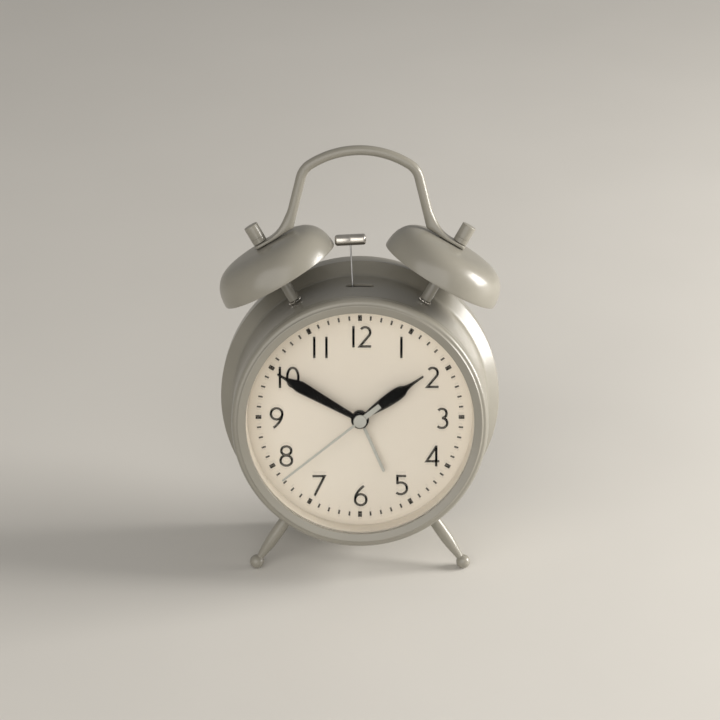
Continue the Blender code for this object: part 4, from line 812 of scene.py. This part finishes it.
def handle_path():
    """Half of the bent rod, from its top to its tab, and the place in it where the leg starts."""
    arch_r, arch_turn = 38.0 * MM, radians(32.3)
    bend_r, leg_slope = 9.0 * MM, radians(76)
    foot_r, foot_slope = 22.0 * MM, BELL_ANGLE
    point, slope = Vector((0, BELL_Y, HANDLE_TOP_Z)), 0.0
    path = [point.copy()]

    def bend(radius, end, steps):
        nonlocal point, slope
        turn = (end - slope) / steps
        for _ in range(steps):
            middle = slope + turn / 2
            chord = 2 * radius * sin(abs(turn) / 2)
            point = point + chord * Vector((cos(middle), 0, -sin(middle)))
            slope += turn
            path.append(point.copy())

    def straight(length, steps=1):
        nonlocal point
        for _ in range(steps):
            point = point + length / steps * Vector((cos(slope), 0, -sin(slope)))
            path.append(point.copy())

    bend(arch_r, arch_turn, 22)
    bend(bend_r, leg_slope, 12)
    leg = len(path) - 1
    crown = Vector((sin(BELL_ANGLE), 0, cos(BELL_ANGLE)))
    tab_at = BELL_RIM_AT + BELL_HEIGHT + GAP + TAB_THICK / 2
    drop = foot_r * Vector((sin(leg_slope) - sin(foot_slope), 0, cos(leg_slope) - cos(foot_slope)))
    run = Vector((cos(leg_slope), 0, -sin(leg_slope)))
    length = (tab_at - (point + drop).dot(crown)) / run.dot(crown)
    straight(length, 12)
    bend(foot_r, foot_slope, 40)
    along = Vector((cos(foot_slope), 0, -sin(foot_slope)))
    nut_spot = Vector((tab_at * sin(BELL_ANGLE), BELL_Y, tab_at * cos(BELL_ANGLE)))
    straight((nut_spot - point).dot(along) + TAB_END, 10)
    return path, leg


def handle_depths(half, leg):
    """Thickness inside the rod's centre line: its foot is pressed flat, with a corner on the bell."""
    def outward(k):
        along = half[min(k + 1, len(half) - 1)] - half[max(k - 1, 0)]
        return along.normalized().cross(Vector((0, 1, 0)))

    crown = Vector((sin(BELL_ANGLE), 0, cos(BELL_ANGLE)))
    underside = BELL_RIM_AT + BELL_HEIGHT + GAP
    leg_out = outward(leg + 1)
    depths = []
    for k, point in enumerate(half):
        out = outward(k)
        to_leg = ((point - half[leg]).dot(leg_out) + HANDLE_R) / out.dot(leg_out)
        to_crown = (point.dot(crown) - underside) / out.dot(crown)
        depths.append(min(to_leg, to_crown) if k > leg else HANDLE_R)
    return depths


def make_handle():
    """Bent rod whose ends are flattened to tabs with rounded corners."""
    half, leg = handle_path()
    path = [Vector((-p.x, p.y, p.z)) for p in reversed(half[1:])] + half
    depths = handle_depths(half, leg)
    flat, round_rod = (TAB_WIDTH / 2, TAB_THICK / 2, 0.4), (HANDLE_R, HANDLE_R, 1.0)
    rounded_from, rounded_by, corner_r = 7.0 * MM, 20.0 * MM, 1.6 * MM
    sections, run = [], 0.0
    for k in range(len(half) - 1, -1, -1):
        share = min(max((run - rounded_from) / (rounded_by - rounded_from), 0), 1)
        share = share * share * (3 - 2 * share)
        half_width, outer, squareness = [a + (b - a) * share for a, b in zip(flat, round_rod)]
        corner = min(run / corner_r, 1)
        half_width -= corner_r * (1 - (1 - (1 - corner) ** 2) ** 0.5)
        sections.append((half_width, outer, depths[k], squareness))
        run += (half[k] - half[k - 1]).length
    sections += sections[-2::-1]
    handle = plain_object("handle_fine", swept(path, sections, 32))
    top, at = BELL_RIM_AT + BELL_HEIGHT, (0, BELL_Y, 0)
    turns = (radial(-BELL_ANGLE), radial(BELL_ANGLE))
    cut(handle, [drill(STUD_R + GAP, top - 2 * MM, top + 6 * MM, at, turn) for turn in turns])
    finish_piece(handle, PAINT, "case", ("handle",))


def make_legs():
    """Turned legs: a stud through the case, a swelling shank, an ankle and a ball with a small flat."""
    shank = [(2.35, 53.6), (2.5, 56.5), (2.64, 61.0), (2.58, 65.5), (2.3, 69.0), (1.92, 72.0)]
    shank = curve2([(r * MM, h * MM) for r, h in shank + [(1.6, 74.2), (1.5, 75.35)]], 6)
    stud = [(0, STUD_END), (STUD_R, STUD_END), (STUD_R, 53.4 * MM), (2.15 * MM, 53.4 * MM)]
    turns = [radians(33 + 147 * k / 22) for k in range(22)]
    ball = [(BALL_R * sin(a), BALL_AT - BALL_R * cos(a)) for a in turns]
    profile = stud + shank + ball + [(0, BALL_AT + BALL_R)]
    for side, sign in (("left", -1), ("right", 1)):
        angle = (pi - LEG_ANGLE) * sign
        leg = turned(profile, 56, along="Z")
        bmesh.ops.remove_doubles(leg, verts=leg.verts, dist=1e-7)
        centre = Vector((0, 0, BALL_AT))
        down = radial(angle).inverted() @ DOWN
        level = centre + down * (BALL_R - BALL_FLAT)
        geom = leg.verts[:] + leg.edges[:] + leg.faces[:]
        bmesh.ops.bisect_plane(leg, geom=geom, plane_co=level, plane_no=down, clear_outer=True, dist=1e-8)
        bmesh.ops.holes_fill(leg, edges=[e for e in leg.edges if e.is_boundary])
        place = {"at": (0, LEG_Y, 0), "turn": radial(angle)}
        piece(f"{side}_leg_fine", leg, PAINT, "case", "grey_paint", **place)
        make_inner_nut(f"{side}_leg_inner_nut", place)


# ---------------- hands


def blade(hub_r, base, half_widths):
    """Outline of a hand along +Z: round hub, then half widths at distances from the centre, in mm."""
    opening = asin(base / hub_r)
    hub = [opening + (tau - 2 * opening) * k / 40 for k in range(41)]
    points = [(hub_r * sin(a), hub_r * cos(a)) for a in hub]
    side = curve2([(half * MM, at * MM) for half, at in half_widths], 6)
    tip, end = side[-1]
    side += [(tip * 0.8, end + 0.2 * MM), (tip * 0.4, end + 0.3 * MM)]
    return points + [(-x, z) for x, z in side] + side[::-1]


def make_hands():
    """Leaf-shaped hour and minute hands that narrow to needles, a straight alarm hand, and seconds."""
    leaf = ((1.6, 12), (2.05, 20), (2.5, 27.5), (2.3, 29.8), (1.5, 32.3))
    minute = blade(3.65 * MM, 1.1 * MM, leaf + ((0.7, 35), (0.5, 37), (0.4, 38.9)))
    leaf = ((1.9, 8), (2.4, 12), (2.7, 17.5), (2.3, 21), (1.3, 23))
    hour = blade(3.7 * MM, 1.25 * MM, leaf + ((0.75, 25.5), (0.5, 28.5), (0.4, 31.5)))
    alarm = blade(3.3 * MM, 0.63 * MM, ((0.63, 12), (0.63, 22), (0.55, 24.6)))
    rows = (
        ("minute", minute, MINUTE_HAND_Y, MINUTE_ANGLE, BLACK, "black_paint"),
        ("hour", hour, HOUR_HAND_Y, HOUR_ANGLE, BLACK, "black_paint"),
        ("alarm", alarm, ALARM_HAND_Y, ALARM_ANGLE, HAND_GREY, "hand_grey"),
    )
    for name, outline, y, angle, material, slot in rows:
        shape = stack([(0, HAND_THICK, outline, (circle(TUBES[name] + 0.06 * MM, 32),))])
        place = {"at": (0, y, 0), "turn": radial(angle)}
        piece(f"{name}_hand_fine", shape, material, f"{name}_train", slot, edge=0.1 * MM, **place)
    bore = circle(TUBES["seconds"] + 0.06 * MM, 24)
    layers = [(0, HAND_THICK, seconds_outline(), (bore,)), (HAND_THICK, COLLET, circle(COLLET, 32), (bore,))]
    at, turn, body = (0, SECONDS_HAND_Y, 0), radial(SECONDS_ANGLE), "seconds_train"
    piece("seconds_hand_fine", stack(layers), HAND_GREY, body, "hand_grey", at=at, turn=turn, edge=0.08 * MM)
    front, ease = SECONDS_HAND_Y - 0.1 * MM - CAP_THICK, 0.3 * MM
    cap = [(0, 0)] + arc((CAP_R - ease, ease), ease, -86, 0, 6) + [(CAP_R, CAP_THICK), (0, CAP_THICK)]
    piece("seconds_hand_cap_fine", turned(cap, 72), HAND_GREY, body, "hand_grey", at=(0, front, 0), turn=turn)


def seconds_outline():
    """Thin needle with a square counterweight on its far side."""
    hub_r, half_needle, half_tip, half_tail = 2.4 * MM, 0.5 * MM, 0.42 * MM, 1.05 * MM
    length, tail_length = 41.1 * MM, 10.4 * MM
    opening, tail_opening = asin(half_needle / hub_r), asin(half_tail / hub_r)
    right = [opening + (pi - tail_opening - opening) * k / 16 for k in range(17)]
    side = [(hub_r * sin(a), hub_r * cos(a)) for a in right]
    points = [(half_tip, length)] + side + [(half_tail, -tail_length)]
    return points + [(-x, z) for x, z in reversed(points)]


# ---------------- hammer


def make_hammer():
    """Wire with eased ends, and a plated head: a cylinder with rounded ends and a seam round its middle."""
    lean = radial(HAMMER_LEAN)
    start, end, ease = 2.0 * MM, HAMMER_ARM - 1.2 * MM, 0.05 * MM
    wire = [(0, start), (WIRE_R - ease, start), (WIRE_R, start + ease)]
    wire += [(WIRE_R, end - ease), (WIRE_R - ease, end), (0, end)]
    wire = turned(wire, 20, along="Z")
    piece("hammer_wire_fine", wire, STEEL, "hammer", "steel", at=HAMMER_PIVOT, turn=lean)
    half, seam = HEAD_LENGTH / 2, 0.09 * MM
    end = arc((HEAD_R - HEAD_ROUND, half - HEAD_ROUND), HEAD_ROUND, 4, 90, 9)
    right = [(HEAD_R - 0.05 * MM, seam), (HEAD_R, seam * 2)] + end + [(0, half)]
    left = [(r, -h) for r, h in reversed(right)]
    shape = turned(left + [(HEAD_R - 0.1 * MM, 0)] + right, 56, along="Z")
    shape.transform(Matrix.Rotation(pi / 2, 4, "Y"))
    shape.transform(Matrix.Translation((0, 0, HAMMER_ARM)))
    head = plain_object("hammer_head_fine", shape, HAMMER_PIVOT, lean)
    bottom, top = HAMMER_ARM - HEAD_R - 1 * MM, HAMMER_ARM - 0.8 * MM
    cut(head, [drill(WIRE_R + 0.15 * MM, bottom, top, HAMMER_PIVOT, lean, 20)])
    finish_piece(head, SATIN_NICKEL, "hammer", ("hammer_head",))


# ---------------- back


def make_back_cover():
    """Moulded cover: battery box, raised ring, and arrows over the knobs."""
    left, right, bottom, top = BATTERY_BOX
    inner = rectangle(*BATTERY_BOX)
    outer = rectangle(left - HOUSING_WALL, right + HOUSING_WALL, bottom - HOUSING_WALL, top + HOUSING_WALL)
    leads = tuple(circle(LEAD_R + 0.25 * MM, 16, (x, LEAD_Z)) for x in LEAD_XS)
    holes = [circle(KNOB_HOLE_R, 40, axis) for axis in (TIME_SET, ALARM_SET)]
    holes += [circle(1.5 * MM, 24, at) for at in SCREW_SPOTS]
    slot_half = SWITCH_TRAVEL / 2 + 2.5 * MM + GAP
    holes += [rectangle(-slot_half, slot_half, SWITCH_Z - 1.9 * MM, SWITCH_Z + 1.9 * MM)]
    layers = [
        (*BATTERY_BOX_Y, outer, leads),
        (BATTERY_BOX_Y[1], COVER_Y[0], outer, (inner,)),
        (*COVER_Y, circle(COVER_R, 120), (inner, *holes)),
    ]
    piece("back_cover_fine", stack(layers), GREY_PLASTIC, "case", "grey_plastic", edge=0.15 * MM)
    sunk, proud = COVER_Y[1] - 0.05 * MM, COVER_Y[1] + 0.5 * MM
    inner_r, outer_r = COVER_R - 1.6 * MM, COVER_R - 0.8 * MM
    rib = turned([(inner_r, sunk), (inner_r, proud), (outer_r, proud), (outer_r, sunk)], 120, closed=True)
    piece("back_cover_ring", rib, GREY_PLASTIC, "case", "grey_plastic", nodes=(), edge=0.12 * MM)
    make_set_arrow("time_ring", TIME_SET)
    make_set_arrow("alarm_ring", ALARM_SET)


def make_set_arrow(name, axis):
    """Raised arc with an arrowhead over a setting knob, showing which way to turn it."""
    face, radius = COVER_Y[1], RING_R
    start, end, width = radians(-42), radians(30), 0.7 * MM
    points = []
    for k in range(25):
        angle = start + (end - start) * k / 24
        points.append(((radius + width) * sin(angle), (radius + width) * cos(angle)))
    head = [(radius + 1.3 * MM, end), (radius + width / 2, end + radians(12)), (radius - 0.6 * MM, end)]
    points += [(r * sin(a), r * cos(a)) for r, a in head]
    for k in range(24, -1, -1):
        angle = start + (end - start) * k / 24
        points.append((radius * sin(angle), radius * cos(angle)))
    shape = stack([(face - 0.05 * MM, face + 0.25 * MM, points, ())])
    at = (axis[0], 0, axis[1])
    piece(name, shape, GREY_PLASTIC, "case", "grey_plastic", nodes=(), at=at, edge=0.06 * MM)


def make_battery_door():
    """Door with a row of grip ribs near its latch."""
    left, right, bottom, top = BATTERY_BOX
    hinge = (0, COVER_Y[1], bottom + GAP)
    height, thick = top - bottom - 2 * GAP, COVER_Y[1] - COVER_Y[0]
    panel = stack([(-thick, 0, rectangle(left + GAP, right - GAP, 0, height), ())])
    door = plain_object("battery_door_fine", panel, hinge)
    latch = rectangle(-5 * MM, 5 * MM, height - 2.7 * MM, height - 0.7 * MM)
    tongue = stack([(-3.6 * MM, -1.0 * MM, latch, ())])
    cut(door, [plain_object("tongue_tool", tongue, hinge)], "UNION")
    grooves = []
    for k in range(6):
        z = height - 4.0 * MM - 1.1 * MM * k
        notch = rectangle(-8 * MM, 8 * MM, z - 0.28 * MM, z + 0.28 * MM)
        grooves.append(plain_object("groove_tool", stack([(-0.45 * MM, 1 * MM, notch, ())]), hinge))
    cut(door, grooves)
    finish_piece(door, GREY_PLASTIC, "battery_door", ("battery_door",), 0.12 * MM)


def make_knobs():
    """Knurled knobs with a domed end."""
    edge = polar(lambda a: (5.82 + 0.18 * cos(18 * a)) * MM, 144)
    bore, stem = circle(1.1 * MM, 24), circle(2.9 * MM, 48)
    inner, start, end = COVER_Y[0] + 0.2 * MM, COVER_Y[1] + 1.0 * MM, COVER_Y[1] + 8.4 * MM
    bore_end = end - 1.1 * MM
    for name, axis in (("time", TIME_SET), ("alarm", ALARM_SET)):
        layers = [(inner, start, stem, (bore,)), (start, bore_end, edge, (bore,)), (bore_end, end, edge, ())]
        place = {"at": (axis[0], 0, axis[1]), "edge": 0.3 * MM, "segments": 3}
        knob = f"{name}_set_knob_fine"
        piece(knob, stack(layers), BLACK_PLASTIC, f"{name}_setter", "black_plastic", **place)


def make_switch():
    """Slide button with three grip ridges."""
    flange = rectangle(-4.2 * MM, 4.2 * MM, -3.2 * MM, 3.2 * MM)
    button = rectangle(-2.5 * MM, 2.5 * MM, -1.6 * MM, 1.6 * MM)
    layers = [(COVER_Y[0] - 1.8 * MM, COVER_Y[0] - GAP, flange, ())]
    layers += [(COVER_Y[0] - GAP, COVER_Y[1] + 1.5 * MM, button, ())]
    ridges = []
    for k in (-1, 0, 1):
        x = k * 1.7 * MM
        ridge = rectangle(x - 0.4 * MM, x + 0.4 * MM, -1.5 * MM, 1.5 * MM)
        shape = stack([(COVER_Y[1] + 1 * MM, COVER_Y[1] + 2 * MM, ridge, ())])
        ridges.append(plain_object("ridge_tool", shape))
    switch = plain_object("alarm_switch_fine", stack(layers))
    cut(switch, ridges, "UNION")
    bpy.context.view_layer.update()
    switch.matrix_world = CLOCK @ Matrix.Translation((-SWITCH_TRAVEL / 2, 0, SWITCH_Z))
    finish_piece(switch, BLACK_PLASTIC, "alarm_switch", ("alarm_switch",), 0.1 * MM)


def make_screws():
    """Pan-head screws with a cross recess."""
    head = COVER_Y[1] + GAP
    recess = rectangle(-1.5 * MM, 1.5 * MM, -0.28 * MM, 0.28 * MM)
    for k, (x, z) in enumerate(SCREW_SPOTS, 1):
        profile = [(0, head - 9 * MM), (0.4 * MM, head - 9 * MM), (1.1 * MM, head - 8.2 * MM)]
        profile += [(1.1 * MM, head), (2.6 * MM, head), (2.6 * MM, head + 0.5 * MM)]
        profile += arc((1.6 * MM, head + 0.5 * MM), 1.0 * MM, 0, 80, 6) + [(0, head + 1.5 * MM)]
        at = (x, 0, z)
        screw = plain_object(f"back_screw_{k}_fine", turned(profile, 40), at)
        tools = []
        for turn in (0, pi / 2):
            bar = stack([(head + 0.6 * MM, head + 2 * MM, recess, ())])
            tools.append(plain_object("cross_tool", bar, at, radial(turn + 0.5 * k)))
        cut(screw, tools)
        finish_piece(screw, NICKEL, "case", (f"back_screw_{k}",), 0.06 * MM)


# ---------------- inside, and the carried-over solids


def make_inside():
    """Battery leads from the contacts to the board, and the driver chip's blob."""
    course = [(23.6, -28.9), (21.8, -28.8), (20.2, -27.6), (19.0, -25.4), (17.8, -23.2)]  # Y and Z in mm
    course += [(16.4, -22.6), (12.0, -22.6), (8.0, -22.4), (6.0, -21.6), (5.6, -21.0)]
    looks = (("red_lead", RED_WIRE, "cell_sleeve"), ("black_lead", BLACK_WIRE, "black_plastic"))
    for (name, material, slot), x in zip(looks, LEAD_XS):
        path = smoothed([Vector((x, y * MM, z * MM)) for y, z in course], 5)
        shape = swept(path, [(LEAD_R, LEAD_R, LEAD_R, 1.0)] * len(path), 16)
        piece(name, shape, material, "case", slot, nodes=())
    blob = [(0, 5.7), (3.4, 5.7), (3.3, 6.1), (2.7, 6.6), (1.4, 6.9), (0, 7.0)]
    chip = turned([(r * MM, y * MM) for r, y in blob], 48)
    piece("driver_chip", chip, BLACK_PLASTIC, "case", "black_plastic", nodes=(), at=(-10 * MM, 0, -19 * MM))


CARRIED = {
    STEEL: ("motor_stator", "motor_coil_core", "striker_bracket", "hammer_pivot_pin", "striker_core"),
    COPPER_X: ("motor_coil",),
    COPPER_Y: ("striker_coil",),
    WHITE_PLASTIC: (
        "movement_middle_plate", "centre_wheel", "third_wheel", "seconds_wheel", "middle_wheel",
        "works_wheel", "hour_wheel", "alarm_wheel", "time_set_shaft", "alarm_set_shaft",
    ),
    BLACK_PLASTIC: ("movement_front_plate", "movement_housing", "hammer_hub"),
    BOARD: ("circuit_board",),
    MAGNET: ("rotor", "striker_magnet"),
    CELL: ("battery_cell_1", "battery_cell_2"),
    NICKEL: (
        "quartz_crystal", "battery_link_contact", "battery_positive_contact", "battery_negative_contact",
    ),
}


def dress_carried_nodes():
    """Finished materials for the CAD solids that stay as they are."""
    for material, names in CARRIED.items():
        for name in names:
            mesh = frame["nodes"][name].data
            mesh.materials.clear()
            mesh.materials.append(material)


# ---------------- floor and light


def make_floor():
    """Plain pale surface, just under the feet."""
    mesh = bpy.data.meshes.new("floor")
    reach = 4.0
    corners = [(-reach, -reach, 0), (reach, -reach, 0), (reach, reach, 0), (-reach, reach, 0)]
    mesh.from_pydata(corners, [], [(0, 1, 2, 3)])
    n = Nodes("floor")
    tone = n.blend(n.noise(3, 2), (0.6, 0.58, 0.54), (0.63, 0.61, 0.57))
    mesh.materials.append(n.set(color=tone, rough=n.spread(n.noise(20), 0.55, 0.7)))
    floor = bpy.data.objects.new("floor", mesh)
    floor.location.z = -0.0001
    bpy.context.scene.collection.objects.link(floor)


def add_light(name, at, size, power, color):
    """Soft rectangular light that faces the middle of the clock."""
    data = bpy.data.lights.new(name, "AREA")
    data.shape = "RECTANGLE"
    data.size, data.size_y = size
    data.energy, data.color = power, color
    light = bpy.data.objects.new(name, data)
    light.location = at
    light.rotation_euler = (Vector((0, 0, 0.09)) - Vector(at)).to_track_quat("-Z", "Y").to_euler()
    bpy.context.scene.collection.objects.link(light)


def make_lights():
    """A bright window to the right, a broad soft light in front, and a dim even room."""
    world = bpy.data.worlds.new("studio")
    world.use_nodes = True
    world.node_tree.nodes["Background"].inputs["Color"].default_value = (0.95, 0.93, 0.9, 1)
    world.node_tree.nodes["Background"].inputs["Strength"].default_value = 0.3
    bpy.context.scene.world = world
    bpy.context.scene.view_settings.view_transform = "Standard"
    add_light("window", (1.05, 0.05, 0.4), (0.5, 0.55), 19, (1, 0.97, 0.93))
    add_light("front_fill", (-0.5, -1.6, 0.9), (2.4, 1.8), 25, (1, 0.97, 0.93))


make_case()
make_bezel()
make_lens()
make_dial()
make_print()
make_bells()
make_handle()
make_legs()
make_hands()
make_hammer()
make_back_cover()
make_battery_door()
make_knobs()
make_switch()
make_screws()
make_inside()
dress_carried_nodes()
make_floor()
make_lights()

bpy.context.view_layer.update()
